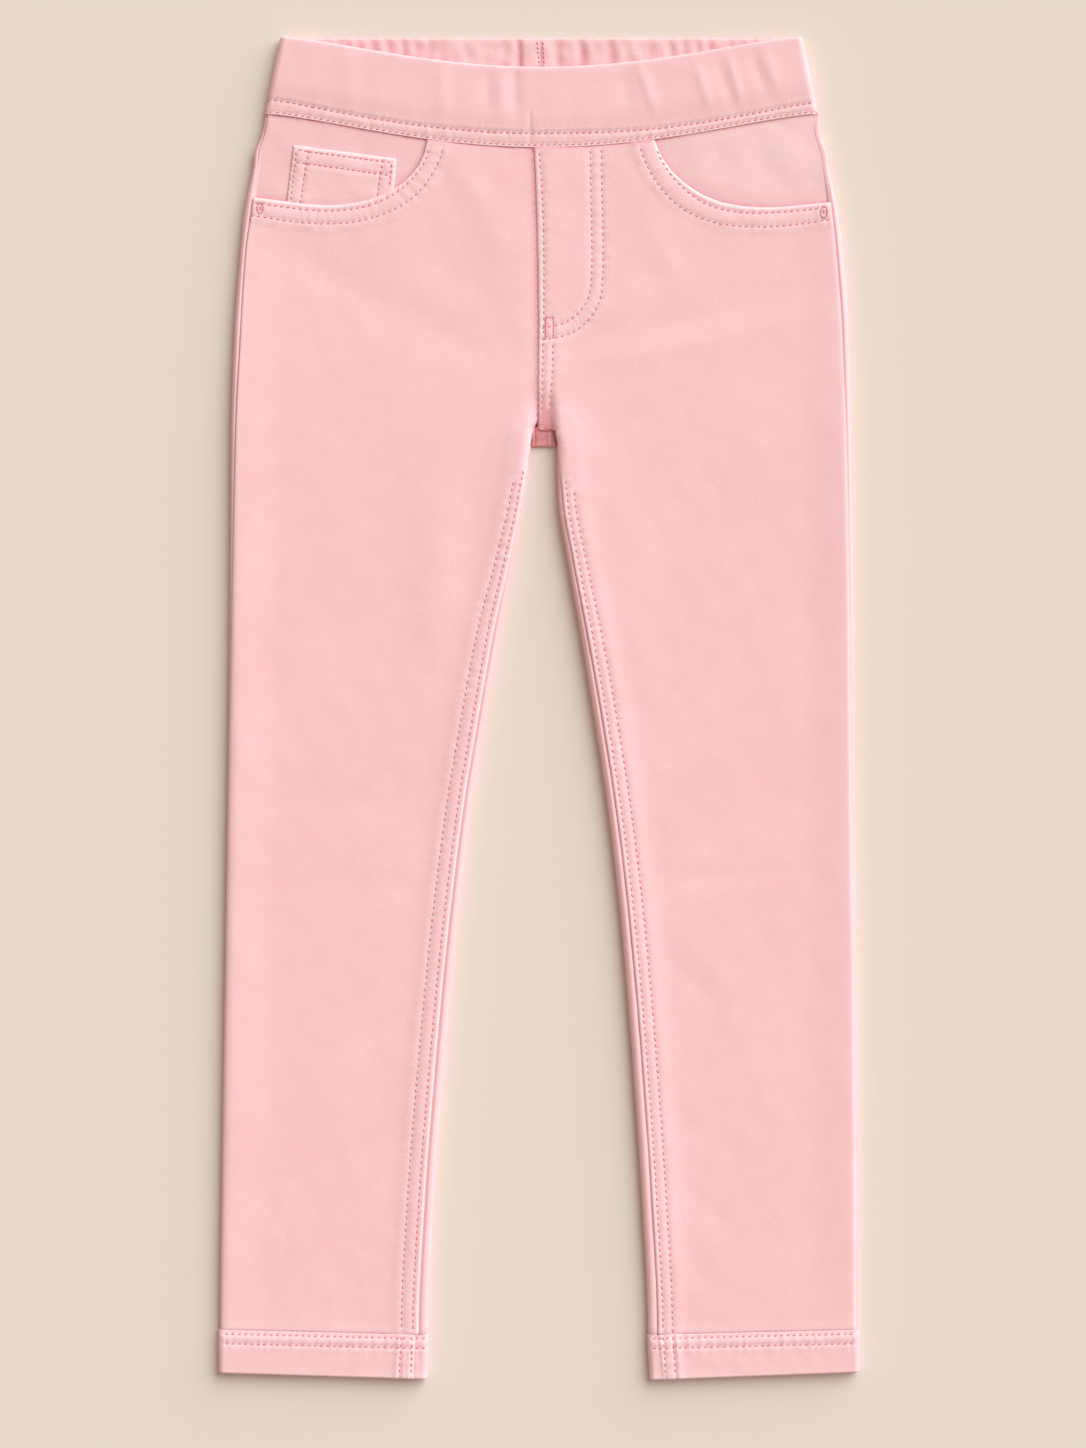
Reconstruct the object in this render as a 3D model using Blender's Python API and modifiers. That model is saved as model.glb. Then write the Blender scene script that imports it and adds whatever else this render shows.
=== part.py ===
"""A child's pull-on jeggings in stretch twill, about size 6, laid flat on a table, front up.

World frame: metres, +Z up out of the table, +Y from the hems towards the waist. The wearer's left
side is at +X. The origin is on the table, under the middle of the garment.

All sizes below are millimetres on the flat garment. A "drop" is measured down from the straight
top edge of the waistband. A "reach" is measured sideways from the garment's middle line, towards
the side of the leg that is being made, so both legs use the same formulas.
"""

from collections import namedtuple
from math import asin, cos, hypot, pi, sin

import bmesh
import bpy
from mathutils import Vector

MM = 0.001

# Driving dimensions
LENGTH = 698.6  # top of the waistband to the lowest point of the hems
CLOTH = 1.6  # one layer of brushed stretch twill
BAND_WALL = 2.8  # waistband: two layers over elastic
HEM_WALL = 2.5  # turned-up hem: two layers, pressed
COIN_WALL = 1.0  # coin pocket, pressed flat
SEAM_GAP = 0.3  # between pieces that are sewn together
FOLD_GAP = 0.5  # the same gap on the outside of a fold: its mid-wall arc is shorter
CROTCH_EASE = 0.5  # added to it where the seams turn under the crotch
BAND_THICKNESS = 7.2  # front and back of the waistband, one on the other
HEM_THICKNESS = 6.0

BAND_DEPTH = 40.2  # height of the waistband at the sides
BAND_TOP_REACH = 136.2  # half its width along the top edge
BAND_FOOT_REACH = 144.2  # half its width along the lower edge
BAND_SHIFT = 1.3  # the waistband lies this far towards the wearer's left
BAND_TOP_DIP = 15.7  # the front top edge hangs below the back one
BAND_FOOT_DIP = 17.4  # and the front lower edge below the side ends

CENTRE_FRONT_X = -0.8  # folded edge of the mock fly
CENTRE_BACK_X = 0.8
CROTCH_FOLD_DROP = 212.8  # where the back panels fold up between the legs
YOKE_SIDE_DROP = 57.4  # yoke seam at the side folds
YOKE_CENTRE_DROP = 87.0  # and at the centre back
HEM_SEAM_DROP = 672.5  # top of the hems at the outer folds
HEM_SEAM_DIP = 2.6  # it lies lower at the inner folds
SETTLE_REACH = 42.0  # the front sinks onto the back over this distance from a fold
SLANT_FADE = 105.0  # slanted rows straighten out over this drop

# The silhouette's outer edges, and the strip of the back panel that shows inside each of them
Side = namedtuple("Side", "drop right left right_strip left_strip")
SIDES = [
    Side(40.2, 142.5, 145.9, 0.8, 1.0),
    Side(49.6, 144.0, 146.4, 1.0, 1.4),
    Side(58.9, 147.4, 149.2, 1.9, 1.6),
    Side(68.3, 149.0, 150.8, 2.4, 1.8),
    Side(90.1, 153.4, 155.5, 3.9, 3.3),
    Side(110.9, 155.5, 158.1, 3.0, 3.6),
    Side(152.5, 158.6, 161.2, 3.4, 3.7),
    Side(204.5, 160.2, 162.4, 2.4, 2.8),
    Side(292.9, 160.7, 163.3, 0.9, 1.8),
    Side(396.9, 162.2, 163.9, 0.3, 1.1),
    Side(500.9, 163.8, 165.4, 0.3, 1.0),
    Side(604.9, 165.4, 166.1, 0.3, 1.0),
    Side(672.5, 166.2, 166.2, 0.3, 1.0),
]

# The edges of the gap between the legs, and the strip of the back panel along the inseams
Inseam = namedtuple("Inseam", "drop right left right_strip left_strip")
INSEAMS = [
    Inseam(212.8, 4.6, 9.4, 0.3, 0.4),
    Inseam(220.1, 4.9, 9.4, 0.3, 0.5),
    Inseam(240.9, 7.2, 10.2, 1.2, 2.0),
    Inseam(272.1, 13.0, 15.1, 2.2, 2.8),
    Inseam(313.7, 20.8, 22.4, 4.2, 3.6),
    Inseam(355.3, 28.1, 29.1, 4.2, 4.5),
    Inseam(396.9, 34.8, 35.4, 4.6, 4.8),
    Inseam(448.9, 41.1, 41.6, 5.2, 5.2),
    Inseam(500.9, 46.3, 46.3, 5.6, 5.6),
    Inseam(552.9, 50.8, 50.2, 5.8, 5.8),
    Inseam(604.9, 54.6, 53.6, 6.0, 6.0),
    Inseam(672.5, 57.6, 56.7, 6.2, 6.0),
]

# How thick the garment lies, and how far its front sinks between the folds
Loft = namedtuple("Loft", "drop thickness settle")
LOFTS = [
    Loft(40.0, 5.6, 0.0),
    Loft(112.0, 5.6, 0.1),
    Loft(212.8, 5.2, 0.6),
    Loft(300.0, 4.8, 1.1),
    Loft(440.0, 4.6, 1.0),
    Loft(620.0, 4.8, 1.0),
    Loft(672.5, 4.8, 0.7),
]

# The crotch below the cross seam, where a corner of each back panel folds up into view
Crotch = namedtuple("Crotch", "cross_reach cross_drop fold_reach leg_drop")
# The scoop of a front pocket: its mouth under the waistband, its lowest point and its side end
Scoop = namedtuple("Scoop", "mouth_reach low_reach low_drop side_reach side_drop")
# Corners of a hem: drops of its lower edge, reaches of its outer and inner folds
Hem = namedtuple("Hem", "outer_reach inner_reach inner_foot_reach outer_foot_drop inner_foot_drop")
Leg = namedtuple("Leg", "name sign crotch scoop hem")
LEGS = [
    Leg(
        "right",
        -1,
        Crotch(2.3, 204.3, 3.0, 217.5),
        Scoop(58.2, 111.3, 87.6, 148.0, 83.8),
        Hem(166.9, 57.2, 58.2, 694.9, 698.2),
    ),
    Leg(
        "left",
        1,
        Crotch(8.4, 204.6, 8.0, 217.5),
        Scoop(60.6, 115.4, 88.8, 151.5, 86.4),
        Hem(166.9, 56.2, 57.7, 694.5, LENGTH),
    ),
]

FACING_MARGIN = 9.0  # the facing runs on under the front panel
COIN_CLEARANCE = 0.4  # between the coin pocket and the scoop's edge
Corner = namedtuple("Corner", "reach drop")
COIN_CORNERS = {
    "outer top": Corner(127.9, 56.3),
    "inner top": Corner(74.1, 63.5),
    "outer foot": Corner(132.0, 90.0),
    "inner foot": Corner(76.2, 86.0),
}

# Rows of the panels, as drops at the side folds
YOKE_ROWS = [40.2, 48.0, 57.4]
FRONT_BODY_ROWS = [40.2, 48.0, 57.0, 68.0, 80.0, 94.0, 112.0, 135.0, 160.0, 184.0, 198.0, 203.0]
BACK_BODY_ROWS = [57.4, 72.0, 92.0, 116.0, 148.0, 182.0]
LEG_ROWS = [226.0, 240.9, 262.0, 290.0, 330.0, 380.0, 440.0, 510.0, 590.0, 672.5]
# Steps of the columns beside a seam, along the cloth: the first two are short, so that each
# piece's cut edge stands square to the fold
EDGE_STEPS = [0.0, 0.15, 0.45, 1.0, 1.9, 3.7, 8.0]
FOLD_COLUMNS = 8
FRONT_MIDDLE_COLUMNS = 5
BOTTOM_COLUMNS = 5

PINK = (0.93, 0.56, 0.57)


# ---------------------------------------------------------------- measures


def along(table, column, drop):
    """A named column of a table at a drop, on a smooth curve that never overshoots its rows."""
    drops = [row.drop for row in table]
    values = [getattr(row, column) for row in table]
    if drop <= drops[0]:
        return values[0]
    if drop >= drops[-1]:
        return values[-1]
    k = max(i for i, d in enumerate(drops) if d <= drop)
    span = drops[k + 1] - drops[k]
    rates = [(values[i + 1] - values[i]) / (drops[i + 1] - drops[i]) for i in range(len(drops) - 1)]

    def slope(i):
        if i in (0, len(rates)) or rates[i - 1] * rates[i] <= 0:
            return 0.0
        return 2 * rates[i - 1] * rates[i] / (rates[i - 1] + rates[i])

    t = (drop - drops[k]) / span
    rise = values[k + 1] - values[k]
    ease = t * t * (3 - 2 * t)
    bow = span * (slope(k) * t * (1 - t) ** 2 - slope(k + 1) * t * t * (1 - t))
    return values[k] + rise * ease + bow


def ease_in(t):
    t = min(max(t, 0.0), 1.0)
    return t * t * (3 - 2 * t)


def dip(share):
    """How far a hanging edge has dropped, from 0 at its ends (share 1) to 1 in the middle."""
    return max(0.0, 1 - share * share) ** 1.5


def half_thickness(drop):
    return along(LOFTS, "thickness", drop) / 2


def fold_point(radius, arc):
    """Inset from the silhouette and height above the table, an arc length up a fold."""
    if arc < pi * radius:
        return radius * (1 - sin(arc / radius)), radius * (1 - cos(arc / radius))
    return radius + arc - pi * radius, 2 * radius


def seam_arc(radius, strip):
    """Arc length up the fold of a seam that leaves a strip of the back panel in view."""
    if strip < radius:
        return radius * (pi - asin((radius - strip) / radius))
    return pi * radius + strip - radius


def settled(height, drop, *insets):
    """Height of the upper layer once it has sunk onto the lower one, away from the folds."""
    sink = along(LOFTS, "settle", drop)
    for inset in insets:
        sink *= ease_in(inset / SETTLE_REACH)
    return height - sink


def band_foot(reach, leg):
    """Drop of the front waistband's lower edge."""
    share = (reach * leg.sign - BAND_SHIFT) / BAND_FOOT_REACH
    return BAND_DEPTH + BAND_FOOT_DIP * dip(min(1.0, abs(share)))


def fading(drop, start):
    """Share of a top edge's slant that a row lower down still has."""
    return 1 - ease_in((drop - start) / SLANT_FADE)


def hem_slant(reach, leg, drop):
    across = (leg.hem.outer_reach - reach) / (leg.hem.outer_reach - leg.hem.inner_reach)
    return HEM_SEAM_DIP * across * ease_in((drop - LEG_ROWS[-2]) / (LEG_ROWS[-1] - LEG_ROWS[-2]))


def centre_reach(leg, centre_x):
    """Reach of a panel's edge at a centre seam, half a seam gap short of it."""
    return leg.sign * centre_x + SEAM_GAP / 2


def outer_reach(leg, drop):
    return along(SIDES, leg.name, drop)


def inner_reach(leg, drop):
    return along(INSEAMS, leg.name, drop)


def place(leg, reach, drop, height):
    return Vector((leg.sign * reach, LENGTH / 2 - drop, height)) * MM


# ---------------------------------------------------------------- making cloth


def cloth_material(name, shade):
    material = bpy.data.materials.new(name)
    material.use_nodes = True
    shader = material.node_tree.nodes["Principled BSDF"]
    shader.inputs["Base Color"].default_value = (*(shade * part for part in PINK), 1.0)
    shader.inputs["Roughness"].default_value = 0.85
    shader.inputs["Metallic"].default_value = 0.0
    shader.inputs["Sheen Weight"].default_value = 0.3
    return material


def cloth_piece(name, columns, rows, point, wall, flip=False, ring=False, keep=None, shade=1.0):
    """One piece of cloth: a grid laid onto its outer face by point(column, row), then thickened.

    Row 0 is the one nearest the waist. A ring is closed along its columns. Where keep is given,
    only the grid points for which keep(column, row) is true are part of the piece.
    """
    mesh = bpy.data.meshes.new(name)
    cloth = bmesh.new()
    bmesh.ops.create_grid(cloth, x_segments=columns, y_segments=rows, size=1.0)
    spare = []
    for vertex in cloth.verts:
        column = round((vertex.co.x + 1) / 2 * columns)
        row = round((1 - vertex.co.y) / 2 * rows)
        if keep is None or keep(column, row):
            vertex.co = point(column, row)
        else:
            spare.append(vertex)
    bmesh.ops.delete(cloth, geom=spare, context="VERTS")
    if ring:
        bmesh.ops.remove_doubles(cloth, verts=cloth.verts, dist=0.001 * MM)
    if flip:
        bmesh.ops.reverse_faces(cloth, faces=cloth.faces)
    cloth.to_mesh(mesh)
    cloth.free()
    mesh.shade_smooth()
    mesh.materials.append(cloth_material(name + "_twill", shade))
    piece = bpy.data.objects.new(name, mesh)
    garment.objects.link(piece)
    piece.parent = root
    thicken = piece.modifiers.new("cloth thickness", "SOLIDIFY")
    thicken.thickness = wall * MM
    thicken.offset = -1.0
    return piece


# ---------------------------------------------------------------- leg panels


def front_panel(leg):
    """Upper layer of one leg, from its side seam to the fly edge or the inseam."""
    body_rows = len(FRONT_BODY_ROWS)
    crotch_rows = [leg.crotch.cross_drop, leg.crotch.leg_drop]
    drops = FRONT_BODY_ROWS + crotch_rows + LEG_ROWS
    edge = len(EDGE_STEPS)
    columns = 2 * edge - 1 + FRONT_MIDDLE_COLUMNS

    def side_point(step, drop):
        radius = half_thickness(drop)
        seam = seam_arc(radius, along(SIDES, leg.name + "_strip", drop))
        inset, height = fold_point(radius, seam + FOLD_GAP / 2 + step)
        return outer_reach(leg, drop) - inset, settled(height, drop, inset)

    def inner_point(step, row, drop):
        radius = half_thickness(drop)
        if row <= body_rows:
            reach = centre_reach(leg, CENTRE_FRONT_X)
            if row == body_rows:
                reach = leg.crotch.cross_reach + FOLD_GAP + CROTCH_EASE
            to_crotch = hypot(step, CROTCH_FOLD_DROP - drop)
            return reach + step, settled(2 * radius, drop, to_crotch)
        seam = seam_arc(radius, along(INSEAMS, leg.name + "_strip", drop))
        seam += FOLD_GAP / 2 + CROTCH_EASE * (row == body_rows + 1)
        inset, height = fold_point(radius, seam + step)
        return inner_reach(leg, drop) + inset, settled(height, drop, inset)

    def spot(column, row, drop):
        if column < edge:
            return side_point(EDGE_STEPS[column], drop)
        if columns - column < edge:
            return inner_point(EDGE_STEPS[columns - column], row, drop)
        outer, _ = side_point(EDGE_STEPS[-1], drop)
        inner, _ = inner_point(EDGE_STEPS[-1], row, drop)
        share = (column - edge + 1) / (FRONT_MIDDLE_COLUMNS + 1)
        reach = outer + (inner - outer) * share
        inner_inset = reach - inner_reach(leg, drop)
        if row <= body_rows:
            inner_inset = hypot(reach, CROTCH_FOLD_DROP - drop)
        height = 2 * half_thickness(drop)
        return reach, settled(height, drop, outer_reach(leg, drop) - reach, inner_inset)

    def point(column, row):
        drop = drops[row]
        reach, _ = spot(column, row, drop)
        slanted = drop + (band_foot(reach, leg) - BAND_DEPTH) * fading(drop, BAND_DEPTH)
        slanted += hem_slant(reach, leg, drop)
        slanted += SEAM_GAP * (row == 0) - SEAM_GAP * (row == len(drops) - 1)
        reach, height = spot(column, row, slanted)
        return place(leg, reach, slanted, height)

    panel = cloth_piece(
        "front_" + leg.name, columns, len(drops) - 1, point, CLOTH, flip=leg.sign > 0
    )
    cut(panel, "DIFFERENCE", scoop_cutter(leg, "scoop_cutter_" + leg.name, 0.0))
    return panel


def wrap_point(leg, column, drop):
    """Reach and height on a back piece between its side seam and where it meets the table."""
    radius = half_thickness(drop)
    seam = seam_arc(radius, along(SIDES, leg.name + "_strip", drop)) - FOLD_GAP / 2
    inset, height = fold_point(radius, wrap_arc(seam, column))
    return outer_reach(leg, drop) - inset, height


def wrap_arc(seam, column):
    """Arc lengths of the columns round a fold, from the seam (column 0) down to the table."""
    if column < 2:
        return seam - EDGE_STEPS[column]
    return (seam - EDGE_STEPS[2]) * (FOLD_COLUMNS - column) / (FOLD_COLUMNS - 2)


def yoke_seam(reach):
    share = min(1.0, max(0.0, (SIDES[2].right - reach) / SIDES[2].right))
    return YOKE_SIDE_DROP + (YOKE_CENTRE_DROP - YOKE_SIDE_DROP) * share


def yoke(leg):
    """Back yoke, from the waistband to the yoke seam, wrapping up round the side fold."""
    columns = FOLD_COLUMNS + BOTTOM_COLUMNS

    def spot(column, drop):
        if column <= FOLD_COLUMNS:
            return wrap_point(leg, column, drop)
        outer, _ = wrap_point(leg, FOLD_COLUMNS, drop)
        share = (column - FOLD_COLUMNS) / BOTTOM_COLUMNS
        return outer + (centre_reach(leg, CENTRE_BACK_X) - outer) * share, 0.0

    def point(column, row):
        share = (YOKE_ROWS[row] - YOKE_ROWS[0]) / (YOKE_ROWS[-1] - YOKE_ROWS[0])
        reach, _ = spot(column, YOKE_ROWS[row])
        foot = yoke_seam(reach) - SEAM_GAP / 2
        top = BAND_DEPTH + SEAM_GAP
        drop = top + (foot - top) * share
        reach, height = spot(column, drop)
        return place(leg, reach, drop, height)

    return cloth_piece(
        "yoke_" + leg.name, columns, len(YOKE_ROWS) - 1, point, CLOTH, flip=leg.sign < 0
    )


def back_panel(leg):
    """Lower layer of one leg. It wraps up round the side fold and, below the crotch, round the
    inner fold. A corner of it also folds up at the crotch, as far as the cross seam."""
    crotch_rows = [200.0, 208.0, leg.crotch.leg_drop]
    drops = BACK_BODY_ROWS + crotch_rows + LEG_ROWS
    centre_row = len(BACK_BODY_ROWS)
    corner_row = centre_row + 1
    bottom_end = FOLD_COLUMNS + BOTTOM_COLUMNS
    columns = bottom_end + FOLD_COLUMNS

    def crotch_point(column, reach, seam_reach):
        """The fold along the top of the gap between the legs, from the table to the cross seam."""
        radius = half_thickness(CROTCH_FOLD_DROP)
        cross = leg.crotch.cross_drop - SEAM_GAP / 2
        seam = pi * radius + CROTCH_FOLD_DROP - radius - cross - SEAM_GAP
        arc = wrap_arc(seam, columns - column)
        inset, height = fold_point(radius, arc)
        share = ease_in((arc - pi * radius) / (seam - pi * radius))
        return reach + (seam_reach - reach) * share, CROTCH_FOLD_DROP - inset, height

    def inner_fold(column, drop):
        radius = half_thickness(drop)
        seam = seam_arc(radius, along(INSEAMS, leg.name + "_strip", drop)) - FOLD_GAP / 2
        inset, height = fold_point(radius, wrap_arc(seam, columns - column))
        return inner_reach(leg, drop) + inset, drop, height

    def inner_point(column, row, drop):
        centre = centre_reach(leg, CENTRE_BACK_X)
        if row < centre_row:
            return centre, drop, 0.0
        if row == centre_row:
            return crotch_point(column, centre, centre)
        if row == corner_row:
            seam_reach = leg.crotch.cross_reach - SEAM_GAP / 2
            return crotch_point(column, leg.crotch.fold_reach, seam_reach)
        return inner_fold(column, drop)

    def spot(column, row, drop):
        if column <= FOLD_COLUMNS:
            reach, height = wrap_point(leg, column, drop)
            return reach, drop, height
        if column >= bottom_end:
            return inner_point(column, row, drop)
        outer, _ = wrap_point(leg, FOLD_COLUMNS, drop)
        inner, _, _ = inner_point(bottom_end, row, drop)
        share = (column - FOLD_COLUMNS) / BOTTOM_COLUMNS
        return outer + (inner - outer) * share, drop, 0.0

    def point(column, row):
        drop = drops[row]
        reach, _, _ = spot(column, row, drop)
        slanted = drop + (yoke_seam(reach) - YOKE_SIDE_DROP) * fading(drop, YOKE_SIDE_DROP)
        slanted += hem_slant(reach, leg, drop)
        slanted += SEAM_GAP / 2 * (row == 0) - SEAM_GAP * (row == len(drops) - 1)
        return place(leg, *spot(column, row, slanted))

    def keep(column, row):
        return row >= centre_row or column <= bottom_end

    return cloth_piece(
        "back_" + leg.name, columns, len(drops) - 1, point, CLOTH, leg.sign < 0, keep=keep
    )


# ---------------------------------------------------------------- pockets


def scoop_cutter(leg, name, margin):
    """A prism over a pocket's opening: the scoop's outline, larger by a margin, as a 2D curve."""
    scoop = leg.scoop
    top = BAND_DEPTH - 12.0
    beyond = scoop.side_reach + 22.0
    mouth = scoop.mouth_reach - margin
    low = scoop.low_drop + margin
    side = scoop.side_drop + margin
    arc_start = BAND_DEPTH + 12.0
    hollow = 0.56  # handle length over the arc's own width or depth, near a quarter ellipse
    corners = [
        # point, handle towards the previous point, handle towards the next one
        ((mouth, top), None, None),
        ((mouth, arc_start), None, (mouth, arc_start + hollow * (low - arc_start))),
        (
            (scoop.low_reach, low),
            (scoop.low_reach - hollow * (scoop.low_reach - mouth), low),
            (scoop.low_reach + 12.0, low),
        ),
        ((scoop.side_reach, side), (scoop.side_reach - 12.0, side + 1.2), None),
        ((beyond, side), None, None),
        ((beyond, top), None, None),
    ]
    outline = bpy.data.curves.new(name, "CURVE")
    outline.dimensions = "2D"
    outline.fill_mode = "BOTH"
    outline.extrude = 20.0 * MM
    outline.resolution_u = 7
    spline = outline.splines.new("BEZIER")
    spline.bezier_points.add(len(corners) - 1)
    spline.use_cyclic_u = True
    for knot, (spot, before, after) in zip(spline.bezier_points, corners):
        knot.handle_left_type = "VECTOR" if before is None else "FREE"
        knot.handle_right_type = "VECTOR" if after is None else "FREE"
        knot.co = place(leg, *spot, 0.0)
        knot.handle_left = place(leg, *(before or spot), 0.0)
        knot.handle_right = place(leg, *(after or spot), 0.0)
    return prism(name, outline)


def prism(name, outline):
    """A closed cutter made from a filled curve."""
    curve = bpy.data.objects.new(name, outline)
    cutters.objects.link(curve)
    bpy.context.view_layer.update()
    evaluated = curve.evaluated_get(bpy.context.evaluated_depsgraph_get())
    mesh = bpy.data.meshes.new_from_object(evaluated)
    solid = bmesh.new()
    solid.from_mesh(mesh)
    bmesh.ops.remove_doubles(solid, verts=solid.verts, dist=0.001 * MM)
    bmesh.ops.recalc_face_normals(solid, faces=solid.faces)
    solid.to_mesh(mesh)
    solid.free()
    matrix = curve.matrix_world.copy()
    bpy.data.objects.remove(curve)
    cutter = bpy.data.objects.new(name, mesh)
    cutter.matrix_world = matrix
    cutter.hide_render = True
    cutter.display_type = "WIRE"
    cutters.objects.link(cutter)
    return cutter


def cut(piece, operation, cutter):
    boolean = piece.modifiers.new("outline", "BOOLEAN")
    boolean.operation = operation
    boolean.solver = "EXACT"
    boolean.object = cutter


def facing_height(drop):
    """Top of a pocket facing, one layer and a seam gap below the front panel's top."""
    return 2 * half_thickness(drop) - CLOTH - SEAM_GAP


def pocket_facing(leg):
    """The cloth inside a scoop, from the side fold to a little under the front panel."""
    columns, rows = 8, 6
    side_inset = 3.0
    inner = leg.scoop.mouth_reach - FACING_MARGIN - 4.0
    foot = leg.scoop.low_drop + FACING_MARGIN + 4.0

    def point(column, row):
        share = column / columns
        outer = outer_reach(leg, BAND_DEPTH) - side_inset
        reach = outer + (inner - outer) * share
        top = band_foot(reach, leg) + FOLD_GAP
        drop = top + (foot - top) * row / rows
        outer = outer_reach(leg, drop) - side_inset
        reach = outer + (inner - outer) * share
        return place(leg, reach, drop, facing_height(drop))

    facing = cloth_piece(
        "pocket_facing_" + leg.name, columns, rows, point, CLOTH, flip=leg.sign > 0, shade=0.97
    )
    cutter = scoop_cutter(leg, "facing_cutter_" + leg.name, FACING_MARGIN)
    cut(facing, "INTERSECT", cutter)
    return facing


def coin_pocket(leg):
    """Small pocket on the wearer's right facing, its foot caught under the scoop's edge."""
    columns, rows = 4, 3
    corners = COIN_CORNERS

    def mix(a, b, share):
        return Corner(a.reach + (b.reach - a.reach) * share, a.drop + (b.drop - a.drop) * share)

    def point(column, row):
        top = mix(corners["outer top"], corners["inner top"], column / columns)
        foot = mix(corners["outer foot"], corners["inner foot"], column / columns)
        spot = mix(top, foot, row / rows)
        height = facing_height(spot.drop) + SEAM_GAP + COIN_WALL
        return place(leg, spot.reach, spot.drop, height)

    pocket = cloth_piece(
        "coin_pocket", columns, rows, point, COIN_WALL, flip=leg.sign > 0, shade=0.98
    )
    cutter = scoop_cutter(leg, "coin_cutter", -COIN_CLEARANCE)
    cut(pocket, "INTERSECT", cutter)
    return pocket


# ---------------------------------------------------------------- waistband and hems


def ring_point(column, flat_columns, fold_columns, radius, left, right):
    """X and height on a flattened ring, and whether the point is on its upper half.

    Column 0 is at the left end of the top; the columns run over the top to the right.
    """
    lap = 2 * (flat_columns + fold_columns)
    column %= lap
    width = right - left - 2 * radius
    if column <= flat_columns:
        return left + radius + width * column / flat_columns, 2 * radius
    if column < flat_columns + fold_columns:
        turn = pi * (column - flat_columns) / fold_columns
        return right - radius + radius * sin(turn), radius * (1 + cos(turn))
    if column <= 2 * flat_columns + fold_columns:
        share = (column - flat_columns - fold_columns) / flat_columns
        return right - radius - width * share, 0.0
    turn = pi * (column - 2 * flat_columns - fold_columns) / fold_columns
    return left + radius - radius * sin(turn), radius * (1 - cos(turn))


def waistband():
    """One loop of doubled cloth; its front hangs lower, so the inside of the back shows."""
    flat_columns, fold_columns, rows = 22, 6, 3
    radius = BAND_THICKNESS / 2

    def point(column, row):
        share = row / rows
        reach = BAND_TOP_REACH + (BAND_FOOT_REACH - BAND_TOP_REACH) * share
        x, height = ring_point(
            column, flat_columns, fold_columns, radius, BAND_SHIFT - reach, BAND_SHIFT + reach
        )
        front = height / (2 * radius)
        hang = dip((x - BAND_SHIFT) / reach) * front
        top = BAND_TOP_DIP * hang
        foot = BAND_DEPTH + BAND_FOOT_DIP * hang
        drop = top + (foot - top) * share
        return Vector((x, LENGTH / 2 - drop, height)) * MM

    columns = 2 * (flat_columns + fold_columns)
    return cloth_piece("waistband", columns, rows, point, BAND_WALL, ring=True)


def hem(leg):
    """Turned-up hem, a flattened ring round the leg's end."""
    flat_columns, fold_columns, rows = 10, 6, 2
    radius = HEM_THICKNESS / 2
    sizes = leg.hem

    def point(column, row):
        share = row / rows
        inner = sizes.inner_reach + (sizes.inner_foot_reach - sizes.inner_reach) * share
        left, right = sorted((leg.sign * inner, leg.sign * sizes.outer_reach))
        x, height = ring_point(column, flat_columns, fold_columns, radius, left, right)
        across = (sizes.outer_reach - abs(x)) / (sizes.outer_reach - inner)
        top = HEM_SEAM_DROP + HEM_SEAM_DIP * across
        foot = sizes.outer_foot_drop + (sizes.inner_foot_drop - sizes.outer_foot_drop) * across
        drop = top + (foot - top) * share
        return Vector((x, LENGTH / 2 - drop, height)) * MM

    columns = 2 * (flat_columns + fold_columns)
    return cloth_piece("hem_" + leg.name, columns, rows, point, HEM_WALL, ring=True)


# ---------------------------------------------------------------- the garment

for leftover in list(bpy.data.objects):
    bpy.data.objects.remove(leftover)

garment = bpy.data.collections.new("pull_on_jeggings")
cutters = bpy.data.collections.new("outline_cutters")
for collection in (garment, cutters):
    bpy.context.scene.collection.children.link(collection)
root = bpy.data.objects.new("garment_origin", None)
garment.objects.link(root)

waistband()
for each_leg in LEGS:
    front_panel(each_leg)
    yoke(each_leg)
    back_panel(each_leg)
    pocket_facing(each_leg)
    hem(each_leg)
coin_pocket(LEGS[0])
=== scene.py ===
"""How a child's pink pull-on jeggings look, laid flat on a pale table, front up.

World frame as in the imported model: metres, +Z up out of the table, +Y towards the waist. Sizes in
this file are millimetres. A "drop" is measured down from the straight top edge of the waistband,
x from the garment's middle line towards the wearer's left, and a "reach" sideways from that line
towards the side of the leg that is being made. Every piece of cloth starts as a flat cut, whose
points are laid onto the garment's surface and then thickened.
"""

from collections import namedtuple
from math import pi

import bmesh
import bpy
import numpy as np
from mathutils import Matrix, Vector, geometry


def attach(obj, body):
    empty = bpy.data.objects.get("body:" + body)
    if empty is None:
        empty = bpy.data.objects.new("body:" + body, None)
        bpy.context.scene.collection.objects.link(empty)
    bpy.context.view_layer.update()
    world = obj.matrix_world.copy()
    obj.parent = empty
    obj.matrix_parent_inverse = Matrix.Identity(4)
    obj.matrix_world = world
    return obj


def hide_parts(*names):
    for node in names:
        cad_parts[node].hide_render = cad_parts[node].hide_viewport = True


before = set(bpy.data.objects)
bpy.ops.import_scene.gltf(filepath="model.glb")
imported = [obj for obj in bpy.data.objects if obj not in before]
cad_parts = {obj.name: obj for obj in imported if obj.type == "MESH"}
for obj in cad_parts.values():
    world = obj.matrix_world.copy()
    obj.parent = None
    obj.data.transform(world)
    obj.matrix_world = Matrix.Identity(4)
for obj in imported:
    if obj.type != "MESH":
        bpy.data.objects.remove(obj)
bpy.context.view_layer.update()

MM = 0.001
CLOTH_MAP = "cloth"  # UV map with each point's place on the flat cut, in millimetres

# ---------------------------------------------------------------- sizes

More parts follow.
